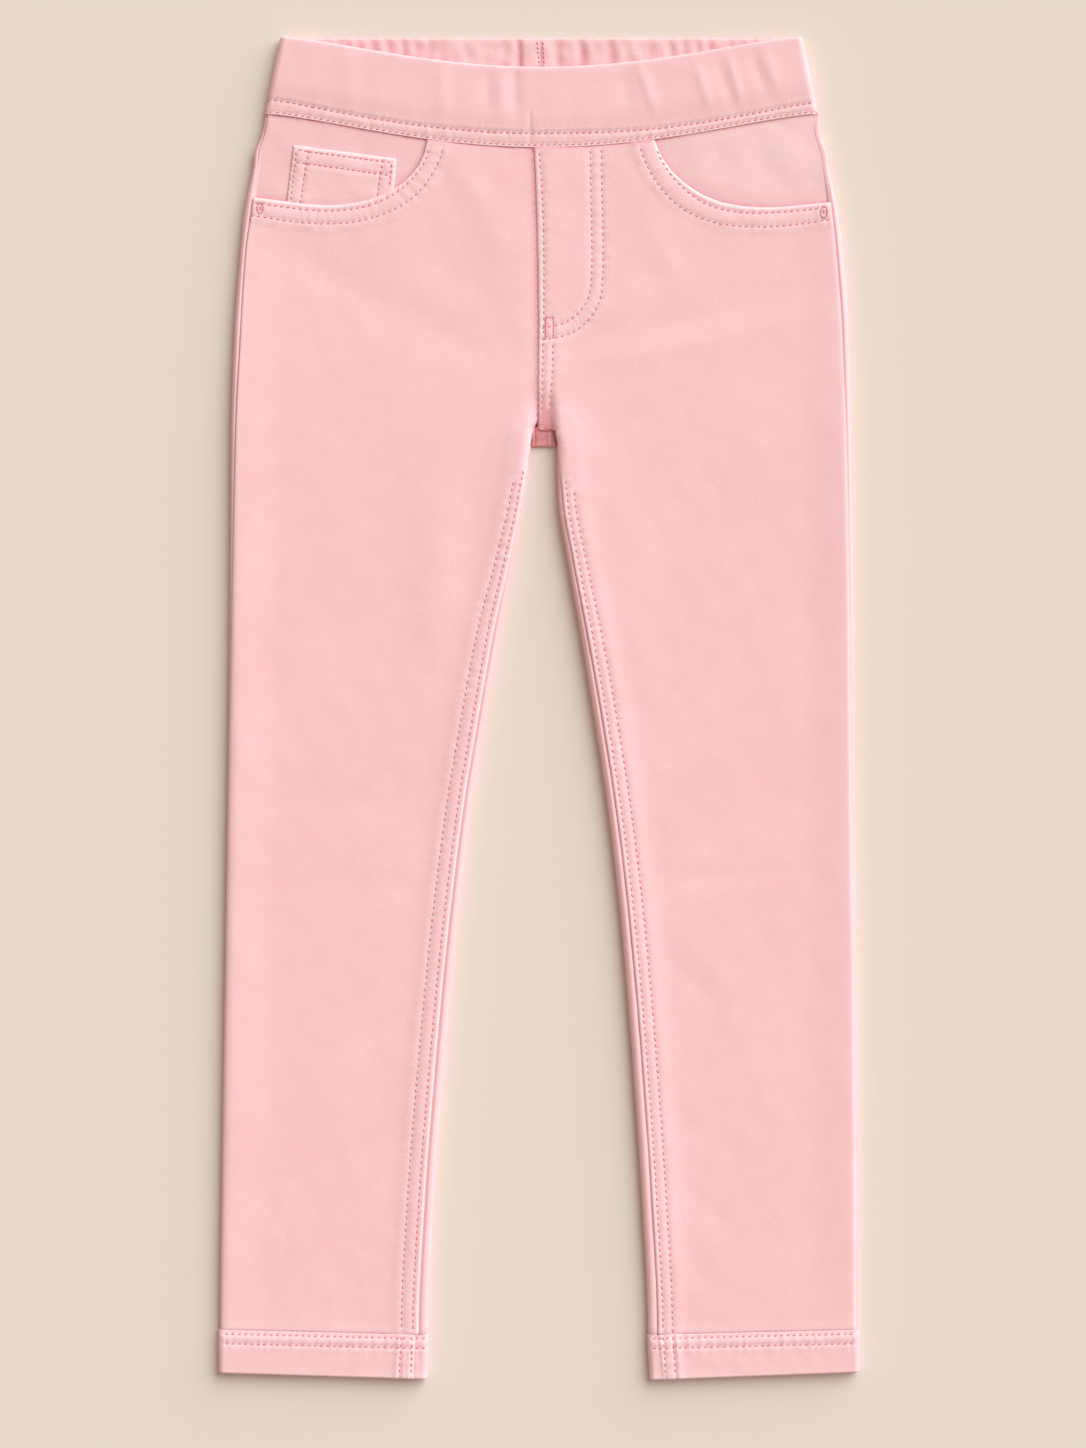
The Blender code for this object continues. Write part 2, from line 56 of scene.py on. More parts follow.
LENGTH = 698.6
FABRIC = 0.7
COIN_CLOTH = 0.45
STITCH_PITCH = 3.3
TACK_PITCH = 1.15
BAND_DEPTH = 40.2
BAND_TOP_REACH = 136.2
BAND_FOOT_REACH = 144.2
BAND_SHIFT = 1.3
BAND_TOP_DIP = 15.7
BAND_FOOT_DIP = 17.4
BAND_THICKNESS = 7.2
BAND_WALL = 2.6
BAND_FOOT_WALL = 0.8
HEM_THICKNESS = 6.0
HEM_TOP_WALL = 0.9
HEM_FOOT_WALL = 2.3
HEM_OUTER_REACH = 166.9
HEM_SEAM_DROP = 672.5
HEM_SEAM_DIP = 2.6  # how much lower the hem's seam lies at the inseam than at the side
HEM_SEAM_SPAN = 109.0
UNDER_BAND = 3.0  # how far the legs' cloth goes on under the waistband
UNDER_HEM = 1.8
FACING_MARGIN = 9.0  # how far a facing goes on under the front
CROTCH_FOLD_DROP = 212.8
CROTCH_FOLD_RADIUS = 1.0
CROTCH_SEAM_X = -1.8
CENTRE_BACK_X = 0.8
SEAM_DIVE = 0.78  # how deep a seam's allowance goes below the surface
DIVE_REACH = 1.0
YOKE_SIDE_DROP = 57.4
YOKE_CENTRE_DROP = 87.0
YOKE_HALF_SPAN = 152.0

# Silhouette and the strip of the back panel in view: drop, right, left, right strip, left strip
SIDES = np.array([
    (40.2, 142.5, 145.9, 0.8, 1.0),
    (49.6, 144.0, 146.4, 1.0, 1.4),
    (58.9, 147.4, 149.2, 1.9, 1.6),
    (68.3, 149.0, 150.8, 2.4, 1.8),
    (90.1, 153.4, 155.5, 3.9, 3.3),
    (110.9, 155.5, 158.1, 3.0, 3.6),
    (152.5, 158.6, 161.2, 3.4, 3.7),
    (204.5, 160.2, 162.4, 2.4, 2.8),
    (292.9, 160.7, 163.3, 0.9, 1.8),
    (396.9, 162.2, 163.9, 0.3, 1.1),
    (500.9, 163.8, 165.4, 0.3, 1.0),
    (604.9, 165.4, 166.1, 0.3, 1.0),
    (672.5, 166.2, 166.2, 0.3, 1.0),
])
# The same along the gap between the legs
INSEAMS = np.array([
    (199.0, 0.8, 8.2, 0.3, 0.3),
    (204.0, 2.6, 8.6, 0.3, 0.3),
    (208.0, 3.4, 9.0, 0.3, 0.3),
    (212.8, 4.2, 9.4, 0.3, 0.3),
    (220.1, 5.0, 9.6, 0.3, 0.5),
    (240.9, 7.2, 10.2, 1.2, 2.0),
    (272.1, 13.0, 15.1, 2.0, 2.5),
    (313.7, 20.8, 22.4, 3.6, 3.2),
    (355.3, 28.1, 29.1, 3.6, 3.8),
    (396.9, 34.8, 35.4, 3.9, 4.0),
    (448.9, 41.1, 41.6, 4.3, 4.3),
    (500.9, 46.3, 46.3, 4.6, 4.6),
    (552.9, 50.8, 50.2, 4.7, 4.8),
    (604.9, 54.6, 53.6, 4.8, 4.9),
    (672.5, 57.6, 56.7, 5.0, 5.0),
])
# How thick the garment lies, and how far its front sinks between the folds: drop, thickness, sink
LOFTS = np.array([
    (40.0, 6.4, 0.3),
    (62.0, 6.2, 0.4),
    (112.0, 6.2, 0.7),
    (212.8, 7.2, 1.2),
    (300.0, 7.0, 1.4),
    (440.0, 6.6, 1.2),
    (620.0, 6.2, 1.0),
    (672.5, 5.6, 0.5),
])
SETTLE_REACH = 26.0  # how far in from a fold the front has sunk

# Colours of the cloth, its painted highlight and painted shade, the thread, the floor and the light
PINK = (0.965, 0.582, 0.600)
# painted highlight colour, mixed in on lips, folds and puffs between stitches
HIGHLIGHT_PINK = (0.990, 0.740, 0.745)
# painted shade colour, mixed in along seams, needle dents and hollows
SHADE_PINK = (0.720, 0.215, 0.240)
SHEEN = (1.0, 0.80, 0.80)
THREAD = (0.790, 0.290, 0.325)
FLOOR = (0.80, 0.709, 0.632)
ROOM_LIGHT = (1.0, 0.82, 0.72)
ROOM_STRENGTH = 0.39
SUN = (0.984, 1.076, 1.104)
SUN_STRENGTH = 3.83
SUN_ANGLE = 1.15
SUN_FROM = (0.61, 0.61, 0.50)
CAMERA_SPOT = (0.0021, -0.0081, 1.7835)

Leg = namedtuple("Leg", [
    "name",
    "sign",  # 1 on the wearer's left, where x is positive, and -1 on the right
    "column",  # its reaches in SIDES and INSEAMS; the strips are STRIP columns on
    "cross",  # points where its cut goes round the crotch
    "leg_drop",  # where the inseam begins
    "roll_drop",  # where the inseam's fold begins
    "scoop",
    "scoop_rows",
    "inseam_starts",  # drops where the two rows beside the inseam begin
    "hem_inner",  # reach of the hem's inner end at its top
    "hem_inner_foot",
    "hem_outer_drop",  # drop of the hem's foot at the side
    "hem_inner_drop",
    "hem_crossing",  # the inseam's fold and rows at the hem: reach, slip towards the foot
])
STRIP = 2
SCOOP_RIGHT = [
    (58.4, 50.0), (58.6, 54.0), (60.0, 60.8), (63.0, 67.0), (67.6, 72.7), (73.0, 77.3),
    (80.6, 81.8), (88.2, 84.7), (95.8, 86.5), (103.5, 87.4), (111.1, 87.6), (118.7, 87.2),
    (126.4, 86.3), (134.0, 85.3), (141.6, 84.3), (150.0, 83.4),
]
SCOOP_LEFT = [
    (59.4, 50.0), (60.8, 55.5), (64.1, 63.0), (68.9, 69.8), (76.1, 76.4), (84.4, 81.8),
    (94.0, 85.8), (104.7, 88.0), (115.5, 88.7), (127.4, 88.3), (139.4, 87.2), (152.3, 86.0),
]
SCOOP_ROWS_RIGHT = [
    [
        (57.1, 58.2), (58.2, 62.0), (60.7, 67.7), (65.3, 73.4), (70.7, 78.6), (75.2, 81.8),
        (80.6, 84.9), (85.9, 87.0), (92.0, 88.6), (97.3, 89.6), (103.5, 90.3), (108.8, 90.6),
        (114.9, 90.4), (121.0, 89.9), (127.9, 89.1), (134.0, 88.4), (141.5, 87.4), (149.0, 86.2),
    ],
    [
        (49.7, 58.0), (51.4, 63.4), (53.8, 68.6), (58.1, 75.7), (61.9, 80.2), (66.1, 84.1),
        (69.9, 86.8), (74.5, 89.4), (79.8, 91.9), (85.9, 93.9), (92.0, 95.6), (98.1, 96.6),
        (104.3, 97.1), (110.3, 97.2), (116.4, 97.1), (122.6, 96.7), (128.6, 96.1),
        (134.7, 95.2), (143.9, 93.5), (150.6, 93.0),
    ],
]
SCOOP_ROWS_LEFT = [
    [
        (61.4, 58.6), (63.2, 63.3), (66.8, 69.3), (71.5, 75.2), (77.3, 80.6), (84.4, 85.6),
        (91.6, 88.8), (99.9, 90.8), (109.5, 91.7), (119.1, 91.6), (128.6, 90.9), (138.2, 90.1),
        (147.0, 89.0),
    ],
    [
        (52.6, 57.4), (54.6, 63.3), (58.2, 71.0), (63.0, 78.2), (68.9, 84.8), (76.1, 90.2),
        (84.4, 94.3), (94.0, 97.3), (104.7, 98.6), (116.7, 98.9), (127.4, 98.3), (139.4, 96.9),
        (149.4, 95.3), (152.0, 95.0),
    ],
]
RIGHT = Leg(
    name="right", sign=-1, column=1, cross=[], leg_drop=205.4, roll_drop=198.0,
    scoop=SCOOP_RIGHT, scoop_rows=SCOOP_ROWS_RIGHT, inseam_starts=(225.0, 231.0),
    hem_inner=57.2, hem_inner_foot=58.2, hem_outer_drop=694.9, hem_inner_drop=698.2,
    hem_crossing=[(64.4, 0.8), (65.8, 0.7), (71.4, 1.2)],
)
LEFT = Leg(
    name="left", sign=1, column=2, cross=[(8.5, 204.7)], leg_drop=206.2, roll_drop=203.5,
    scoop=SCOOP_LEFT, scoop_rows=SCOOP_ROWS_LEFT, inseam_starts=(230.0, 236.0),
    hem_inner=56.2, hem_inner_foot=57.7, hem_outer_drop=694.5, hem_inner_drop=LENGTH,
    hem_crossing=[(62.2, 2.5), (64.9, 1.0), (69.9, 1.4)],
)
LEGS = (RIGHT, LEFT)

# Stitched lines of the fly, as (x, drop)
FLY_EDGE = [
    (-3.2, 50.0), (-3.0, 57.6), (-2.1, 71.3), (-1.3, 96.1), (-0.7, 121.0), (-0.5, 145.9),
    (-0.5, 167.4), (-0.6, 184.8), (-0.5, 195.0), (-0.8, 204.6),
]
FLY_ROW = [
    (0.3, 59.5), (1.5, 75.4), (2.4, 96.1), (2.8, 121.0), (2.7, 145.1), (2.1, 162.5),
    (1.9, 179.5), (1.7, 195.4),
]
CROTCH_ROW = [(7.3, 159.3), (7.3, 168.8), (6.9, 178.4), (6.3, 184.8), (5.8, 192.0)]
J_ROWS = [
    [
        (32.6, 58.0), (32.9, 79.6), (33.5, 104.4), (33.5, 121.0), (32.7, 133.5), (31.0, 139.3),
        (28.9, 143.2), (25.6, 147.6), (21.5, 151.3), (17.3, 153.8), (12.4, 155.6), (8.6, 156.4),
        (2.4, 157.4), (0.6, 157.6),
    ],
    [
        (26.8, 58.4), (27.1, 79.6), (27.7, 104.4), (27.7, 121.0), (27.0, 131.0), (25.7, 135.9),
        (23.6, 140.1), (20.6, 143.8), (16.5, 147.2), (12.4, 149.2), (8.2, 150.4), (2.4, 151.4),
        (0.6, 151.7),
    ],
]
# How far the two rows beside an inseam lie from it: near the crotch and lower down
INSEAM_ROWS = {"right": [(2.9, 2.8), (6.7, 8.7)], "left": [(2.9, 2.9), (6.7, 7.9)]}
# Rings of short stitches at the scoops' side ends: x, drop, half width, half height
RING_TACKS = {"right": (-144.9, 89.2, 1.6, 2.7), "left": (148.2, 91.4, 1.7, 3.0)}
FLY_TACK = [(3.6, 157.4), (3.6, 145.9), (7.6, 145.9), (7.6, 157.4)]
CROSS_ROW = [(-1.6, 202.9), (3.4, 203.3), (8.0, 203.6)]
HEM_ROWS = (2.0, 6.9)  # below the hem's seam
BAND_EDGE_ROW = 1.3  # above the waistband's lower edge
CENTRE_BACK_ROWS = [[(-0.9, 1.6), (0.2, 15.5)], [(2.1, 1.6), (2.9, 15.5)]]
BAND_ROW = [
    (-142.0, 32.8), (-138.0, 33.0), (-128.5, 34.3), (-116.6, 36.7), (-104.6, 39.1),
    (-92.7, 41.4), (-80.8, 43.4), (-68.8, 45.2), (-56.9, 46.7), (-45.0, 47.9), (-33.0, 49.0),
    (-21.1, 49.8), (-9.2, 50.2), (8.8, 50.2), (37.9, 49.5), (61.8, 47.8), (73.7, 46.2),
    (85.6, 44.5), (97.6, 42.4), (109.5, 40.2), (121.5, 38.0), (133.4, 35.7), (143.5, 34.0),
]

# Soft creases and swells of the front: points (x, drop), half width, height (minus: a valley)
CREASES = [
    ([(-145, 102), (-103, 127), (-64, 150), (-10, 168)], 11.0, -0.55),
    ([(-64, 111), (-41, 121), (-15, 158)], 9.0, -0.35),
    ([(-46, 61), (-28, 90), (-10, 121)], 8.0, 0.45),
    ([(-51, 66), (-50, 76)], 3.0, -0.25),
    ([(-30, 61), (-8, 62), (-9, 95)], 8.0, -0.3),
    ([(6, 163), (84, 147), (149, 129)], 9.0, -0.5),
    ([(14, 171), (97, 155), (149, 140)], 7.0, 0.4),
    ([(58, 95), (73, 127)], 6.0, 0.3),
    ([(-145, 397), (-103, 398), (-62, 396)], 9.0, -0.22),
    ([(-124, 441), (-52, 441)], 9.0, -0.2),
    ([(-98, 524), (-67, 506)], 7.0, -0.2),
    ([(55, 439), (100, 437), (146, 433)], 5.5, -0.22),
    ([(57, 470), (94, 506)], 6.0, -0.25),
    ([(62, 460), (102, 496)], 6.0, 0.15),
    ([(68, 558), (89, 574)], 6.0, -0.22),
    ([(73, 595), (100, 621)], 6.0, -0.2),
    ([(73, 631), (94, 652)], 6.0, -0.2),
    ([(-49, 215), (-54, 280), (-59, 335)], 13.0, 0.75),
    ([(36, 225), (46, 300), (54, 370)], 18.0, 0.8),
]
# The same on the front of the waistband
BAND_CREASES = [
    ([(-27, 17), (-27, 36)], 3.0, -0.3),
    ([(-12.5, 15), (-12, 41)], 3.2, -0.55),
    ([(-4.7, 38), (-4.7, 57)], 1.2, -0.35),
    ([(45, 20), (46, 38)], 4.0, -0.25),
    ([(92, 11), (101, 38)], 3.4, -0.35),
    ([(110, 8), (118, 30)], 3.4, -0.35),
    ([(-98, 12), (-98, 40)], 5.0, 0.2),
    ([(-50, 15), (-50, 41)], 4.0, 0.35),
    ([(-20, 18), (-20, 42)], 3.4, 0.35),
    ([(52, 15), (61, 41)], 3.0, 0.45),
    ([(82, 15), (89, 38)], 3.0, 0.4),
    ([(99, 12), (105, 34)], 2.6, 0.4),
    ([(117, 8), (124, 28)], 3.4, 0.35),
    ([(-58, 46), (-57.5, 54)], 1.2, 0.3),
    ([(-48, 47), (-47.5, 55)], 1.2, 0.3),
    ([(52.5, 48), (52.8, 56)], 1.2, 0.25),
    ([(59, 47), (59.5, 55)], 1.2, 0.25),
]
# Gathers of the back of the waistband, seen from inside: x, half width, depth
GATHERS = [
    (-114.4, 1.6, 0.4), (-109.7, 1.6, 0.4), (-104.0, 1.8, 0.5), (-99.6, 1.6, 0.5),
    (-93.6, 2.0, 0.6), (-86.3, 2.2, 0.6), (-78.5, 2.2, 0.7), (-70.7, 2.2, 0.7),
    (-64.0, 2.2, 0.6), (-56.7, 2.4, 0.6), (-50.0, 3.0, 0.4), (-17.7, 2.6, 0.4),
    (-10.4, 1.8, 1.2), (9.9, 2.4, 0.6), (22.4, 2.6, 0.8), (37.4, 3.0, 0.7),
    (58.2, 2.6, 0.5), (68.6, 2.2, 0.5), (75.9, 2.0, 0.5), (82.7, 1.8, 0.6),
    (89.4, 1.8, 0.6), (100.0, 1.8, 0.6), (106.6, 1.6, 0.5), (112.8, 1.6, 0.5),
    (118.6, 1.6, 0.4), (121.7, 1.6, 0.4),
]

# The coin pocket on the wearer's right facing, as (x, drop)
COIN_OUTLINE = [(-127.9, 56.3), (-74.1, 63.5), (-75.4, 77.5), (-76.4, 90.0), (-132.2, 92.0)]
COIN_ROWS = [
    [(-125.6, 58.8), (-119.5, 59.7), (-76.0, 65.4)],
    [(-126.6, 65.2), (-120.3, 65.9), (-84.4, 71.0), (-77.0, 72.0)],
    [(-126.0, 59.3), (-129.2, 87.5)],
    [(-119.5, 58.4), (-121.0, 67.0), (-124.3, 88.5)],
    [(-76.4, 65.6), (-77.7, 78.0)],
    [(-80.9, 63.2), (-82.2, 70.8), (-84.0, 83.0)],
]


# ---------------------------------------------------------------- curves and fields

FAR = 1e3  # stands for a distance that is past the limit
EDGE_SIDES = (-0.7, 0.7, -1.5, 1.5)  # where points lie beside an edge


def table_at(table, column, drop):
    """A table's column at each drop, on a smooth curve that never overshoots its rows."""
    x, y = table[:, 0], table[:, column]
    drop = np.clip(drop, x[0], x[-1])
    k = np.clip(np.searchsorted(x, drop, side="right") - 1, 0, len(x) - 2)
    rates = np.diff(y) / np.diff(x)
    slopes = np.zeros(len(x))
    same_way = rates[:-1] * rates[1:] > 0
    total = np.where(same_way, rates[:-1] + rates[1:], 1.0)
    slopes[1:-1] = np.where(same_way, 2 * rates[:-1] * rates[1:] / total, 0.0)
    span = x[k + 1] - x[k]
    t = (drop - x[k]) / span
    bow = span * (slopes[k] * t * (1 - t) ** 2 - slopes[k + 1] * t * t * (1 - t))
    return y[k] + (y[k + 1] - y[k]) * ease(t) + bow


def ease(t):
    """A smooth step from 0 to 1 while t goes from 0 to 1."""
    t = np.clip(t, 0.0, 1.0)
    return t * t * (3 - 2 * t)


def bell(distance, half_width):
    """1 at no distance, falling off smoothly on both sides."""
    return np.exp(-((distance / half_width) ** 2))


def line(points, step, rounding):
    """A smooth curve near the given points, as an array of points about `step` apart."""
    fine_step = 0.4
    fine = resample(np.array(points, float), fine_step)
    passes = int((rounding / fine_step) ** 2 / 2)
    for _ in range(passes):
        fine[1:-1] += 0.25 * (fine[:-2] + fine[2:] - 2 * fine[1:-1])
    return resample(fine, step)


def lengths_along(path):
    """Distance of each point of a path from its start."""
    return np.concatenate([[0.0], np.cumsum(np.hypot(*np.diff(path, axis=0).T))])


def resample(points, step):
    """The same path with its points an even step apart."""
    at = lengths_along(points)
    wanted = np.linspace(0, at[-1], max(2, round(at[-1] / step) + 1))
    return np.stack([np.interp(wanted, at, points[:, i]) for i in (0, 1)], axis=1)


def sewing_line(points):
    """The path of a row of stitches."""
    return line(points, 0.8, 2.0)


def path_of(reach, drop):
    return np.stack([reach, drop], axis=1)


def spots_at(x, drop, height):
    """Points in the garment's own space, in millimetres."""
    return np.stack([x, LENGTH / 2 - drop, height], axis=-1)


def sideways(path):
    """Unit vectors at right angles to a path, on its right-hand side."""
    along = np.gradient(path, axis=0)
    along /= np.hypot(*along.T)[:, None]
    return np.stack([along[:, 1], -along[:, 0]], axis=1)


def near(points, path, limit):
    """Signed distance from a path and the distance along it, for each point nearer than limit."""
    path = resample(np.array(path, float), 0.5)
    side = np.full(len(points), FAR)
    along = np.zeros(len(points))
    low, high = path.min(0) - limit, path.max(0) + limit
    within = np.flatnonzero(((points > low) & (points < high)).all(axis=1))
    steps = lengths_along(path)
    right = sideways(path)
    batch = 4000
    for part in np.array_split(within, max(1, len(within) // batch)):
        if len(part):
            gap = points[part, None, :] - path[None, :, :]
            square = (gap**2).sum(axis=2)
            best = square.argmin(axis=1)
            chosen = gap[np.arange(len(part)), best]
            sign = np.sign((chosen * right[best]).sum(axis=1))
            distance = np.sqrt(square[np.arange(len(part)), best])
            side[part] = np.where(distance < limit, sign * distance, FAR)
            along[part] = steps[best]
    return side, along


def unevenness(points, size, seed):
    """Smooth irregular waves, mostly between -1 and 1, about `size` from crest to crest."""
    spin = np.random.default_rng(seed)
    total = np.zeros(len(points))
    wave_count = 7
    for _ in range(wave_count):
        turn, phase = spin.uniform(0, 2 * pi, 2)
        scale = size * spin.uniform(0.7, 1.5)
        way = points[:, 0] * np.cos(turn) + points[:, 1] * np.sin(turn)
        total += np.sin(2 * pi * way / scale + phase)
    return total / 4


def crease_relief(points, creases):
    """Height that soft creases and swells add; they are flatter towards their ends."""
    relief = np.zeros(len(points))
    end_height = 0.35
    for path, half_width, height in creases:
        side, along = near(points, line(path, 1.0, 6.0), 3 * half_width)
        length = np.hypot(*np.diff(np.array(path, float), axis=0).T).sum()
        fading = 0.3 * length
        fade = ease(along / fading) * ease((length - along) / fading)
        relief += height * bell(side, half_width) * (end_height + (1 - end_height) * fade)
    return relief


class Surface:
    """Height, painted highlight and painted shade that seams and creases add to the points of a
    cut.
    """

    def __init__(self, points):
        self.points = points
        self.height = np.zeros(len(points))
        self.painted_light = np.zeros(len(points))
        self.shade = np.zeros(len(points))

    def joined(self, other):
        """One surface with the points of both."""
        both = Surface(np.concatenate([self.points, other.points]))
        for key in ("height", "painted_light", "shade"):
            setattr(both, key, np.concatenate([getattr(self, key), getattr(other, key)]))
        return both

    def stitched(self, path, depth=0.36, pucker=0.10, reach=5.0, seed=1):
        """A row of stitches: a trough with needle dents, and puckers across it."""
        side, along = near(self.points, path, 3 * reach)
        on_row = along > 0
        gap = np.cos(2 * pi * along / STITCH_PITCH)
        self.height -= depth * bell(side, 0.85) * (0.75 - 0.25 * gap)
        self.height += 0.10 * bell(np.abs(side) - 1.8, 0.9) * on_row
        wander = unevenness(self.points, 22.0, seed)
        waves = np.sin(2 * pi * along / (6.1 + 0.8 * wander) + 3 * wander)
        self.height += pucker * waves * bell(side, reach) * on_row * (0.6 + 0.4 * wander)
        # painted shade under each stitch and in its needle dents, painted highlight on the puffs
        # between stitches and beside the row
        self.shade += 0.30 * bell(side, 0.7) * np.maximum(-gap, 0)
        self.painted_light += 0.45 * bell(side, 0.8) * np.maximum(gap, 0)
        self.painted_light += 0.12 * bell(np.abs(side) - 1.6, 0.7) * on_row

    def edge(self, path, lift, width, roll, light, inward=1):
        """A turned-in edge: a lip that is rolled over, with a painted highlight along it, and a
        doubled strip behind.
        """
        side, _ = near(self.points, path, width + 8)
        inner = side * inward
        known = np.abs(side) < FAR
        self.height += np.where(known, lift * (1 - ease((inner - width) / 3.0)), 0.0)
        self.height -= np.where(known, roll * ease(1 - inner / 1.3) ** 2, 0.0)
        # painted highlight along the lip
        self.painted_light += np.where(known, light * bell(inner - 0.9, 1.1), 0.0)

    def contact(self, path, depth, reach, dark):
        """The dip, and a dark line of painted shade beside another piece's edge."""
        side, _ = near(self.points, path, 4 * reach)
        self.height -= depth * bell(side, reach)
        # painted shade along the edge
        self.shade += dark * bell(side, 0.9)


# ---------------------------------------------------------------- materials


class Nodes:
    """Short ways to add and link nodes in one tree."""

    def __init__(self, tree):
        self.tree = tree

    def add(self, kind, settings=None, **inputs):
        node = self.tree.nodes.new(kind)
        for key, value in (settings or {}).items():
            setattr(node, key, value)
        for key, value in inputs.items():
            self.set(node.inputs[key.replace("_", " ")], value)
        return node

    def set(self, socket, value):
        if isinstance(value, bpy.types.NodeSocket):
            self.tree.links.new(value, socket)
        else:
            socket.default_value = value

    def math(self, operation, *values, clamp=False):
        node = self.tree.nodes.new("ShaderNodeMath")
        node.operation = operation
        node.use_clamp = clamp
        for socket, value in zip(node.inputs, values):
            self.set(socket, value)
        return node.outputs[0]

    def noise(self, place, scale, detail, roughness=0.5):
        settings = {"Vector": place, "Scale": scale, "Detail": detail, "Roughness": roughness}
        return self.add("ShaderNodeTexNoise", **settings).outputs["Fac"]

    def mix(self, kind, factor, a, b):
        node = self.tree.nodes.new("ShaderNodeMix")
        node.data_type = "RGBA"
        node.blend_type = kind
        colours = [s for s in node.inputs if s.type == "RGBA"]
        self.set(node.inputs["Factor"], factor)
        self.set(colours[0], a)
        self.set(colours[1], b)
        return [s for s in node.outputs if s.type == "RGBA"][0]

    def give_out(self, **values):
        out = self.tree.nodes.new("NodeGroupOutput")
        for key, value in values.items():
            self.set(out.inputs[key], value)


def new_group(name, inputs, outputs):
    """A shader node group with named sockets, a maker of its nodes, and what it is given."""
    group = bpy.data.node_groups.new(name, "ShaderNodeTree")
    for socket_name, kind, value in inputs:
        kind = "NodeSocket" + kind
        socket = group.interface.new_socket(socket_name, in_out="INPUT", socket_type=kind)
        if value is not None:
            socket.default_value = value
    for socket_name, kind in outputs:
        kind = "NodeSocket" + kind
        group.interface.new_socket(socket_name, in_out="OUTPUT", socket_type=kind)
    return group, Nodes(group), group.nodes.new("NodeGroupInput").outputs


def twill_group():
    """Brushed twill: diagonal ribs broken into floats, loose fibres and soft mottling."""
    group, make, given = new_group(
        "brushed twill",
        [("Position", "Vector", None), ("Rib Spacing", "Float", 1.1), ("Mottling", "Float", 1.0)],
        [("Tone", "Float"), ("Height", "Float")],
    )
    place = given["Position"]
    wobble = make.add("ShaderNodeTexNoise", Vector=place, Scale=0.35, Detail=2.0)
    bent = make.add("ShaderNodeVectorMath", {"operation": "MULTIPLY_ADD"})
    make.set(bent.inputs[0], wobble.outputs["Color"])
    bent.inputs[1].default_value = (0.9, 0.9, 0.0)
    make.set(bent.inputs[2], place)
    split = make.add("ShaderNodeSeparateXYZ", Vector=bent.outputs[0])
    across = make.math("ADD", split.outputs["X"], split.outputs["Y"])
    down = make.math("SUBTRACT", split.outputs["X"], split.outputs["Y"])
    turn = make.math("DIVIDE", 2 * pi / 2**0.5, given["Rib Spacing"])
    ribs = make.math("SINE", make.math("MULTIPLY", across, turn))
    floats = make.math("SINE", make.math("MULTIPLY", down, make.math("MULTIPLY", turn, 0.83)))
    floats = make.math("MULTIPLY", floats, 0.45)
    weave = make.math("ADD", make.math("MULTIPLY", ribs, 0.7), floats)
    fibre = make.noise(place, 1.5, 3.0, 0.7)
    brushed = make.noise(place, 0.55, 2.0)
    showing = make.math("MULTIPLY_ADD", brushed, 1.6, -0.2, clamp=True)
    weave = make.math("MULTIPLY", weave, showing)
    fuzz = make.math("SUBTRACT", fibre, 0.5)
    patch = make.math("SUBTRACT", make.noise(place, 0.16, 4.0, 0.6), 0.5)
    drift = make.math("SUBTRACT", make.noise(place, 0.02, 2.0), 0.5)
    rib_share, fuzz_share, patch_share, drift_share = 0.072, 0.30, 0.045, 0.05
    tone = make.math("MULTIPLY", weave, rib_share)
    tone = make.math("MULTIPLY_ADD", fuzz, fuzz_share, tone)
    drift = make.math("MULTIPLY", drift, drift_share)
    uneven = make.math("MULTIPLY_ADD", patch, patch_share, drift)
    tone = make.math("MULTIPLY_ADD", uneven, given["Mottling"], tone)
    height = make.math("MULTIPLY_ADD", fuzz, 1.3, make.math("MULTIPLY", weave, 0.7))
    make.give_out(Tone=tone, Height=height)
    return group


def painted_light_group():
    """Painted highlight on lips, folds and puffs, and painted shade in seams, needle dents and
    hollows.
    """
    colours = [(name, "Color", None) for name in ("Colour", "Highlight Colour", "Shade Colour")]
    group, make, given = new_group(
        "painted edge light and shade",
        [*colours, ("Position", "Vector", None)],
        [("Colour", "Color"), ("Roughness", "Float")],
    )
    painted_light = make.add("ShaderNodeAttribute", {"attribute_name": "painted_light"}).outputs["Fac"]
    shade = make.add("ShaderNodeAttribute", {"attribute_name": "shade"}).outputs["Fac"]
    uneven = make.math("MULTIPLY_ADD", make.noise(given["Position"], 0.45, 2.0), 0.7, 0.65)
    # painted highlight and painted shade, each broken up by noise
    light = make.math("MULTIPLY", painted_light, uneven, clamp=True)
    deep = make.math("MULTIPLY", shade, uneven, clamp=True)
    colour = make.mix("MIX", light, given["Colour"], given["Highlight Colour"])
    colour = make.mix("MIX", deep, colour, given["Shade Colour"])
    roughness = make.math("MULTIPLY_ADD", light, -0.08, 0.86)
    make.give_out(Colour=colour, Roughness=roughness)
    return group


TWILL = twill_group()
PAINTED_LIGHT_GROUP = painted_light_group()


def shaded(colour, share=1.0):
    """A socket's colour, darkened to a share of its lightness."""
    return (*(part * share for part in colour), 1.0)


def new_material(name):
    """A material, its shader and a maker of its nodes."""
    material = bpy.data.materials.new(name)
    material.use_nodes = True
    tree = material.node_tree
    return material, tree.nodes["Principled BSDF"], Nodes(tree)


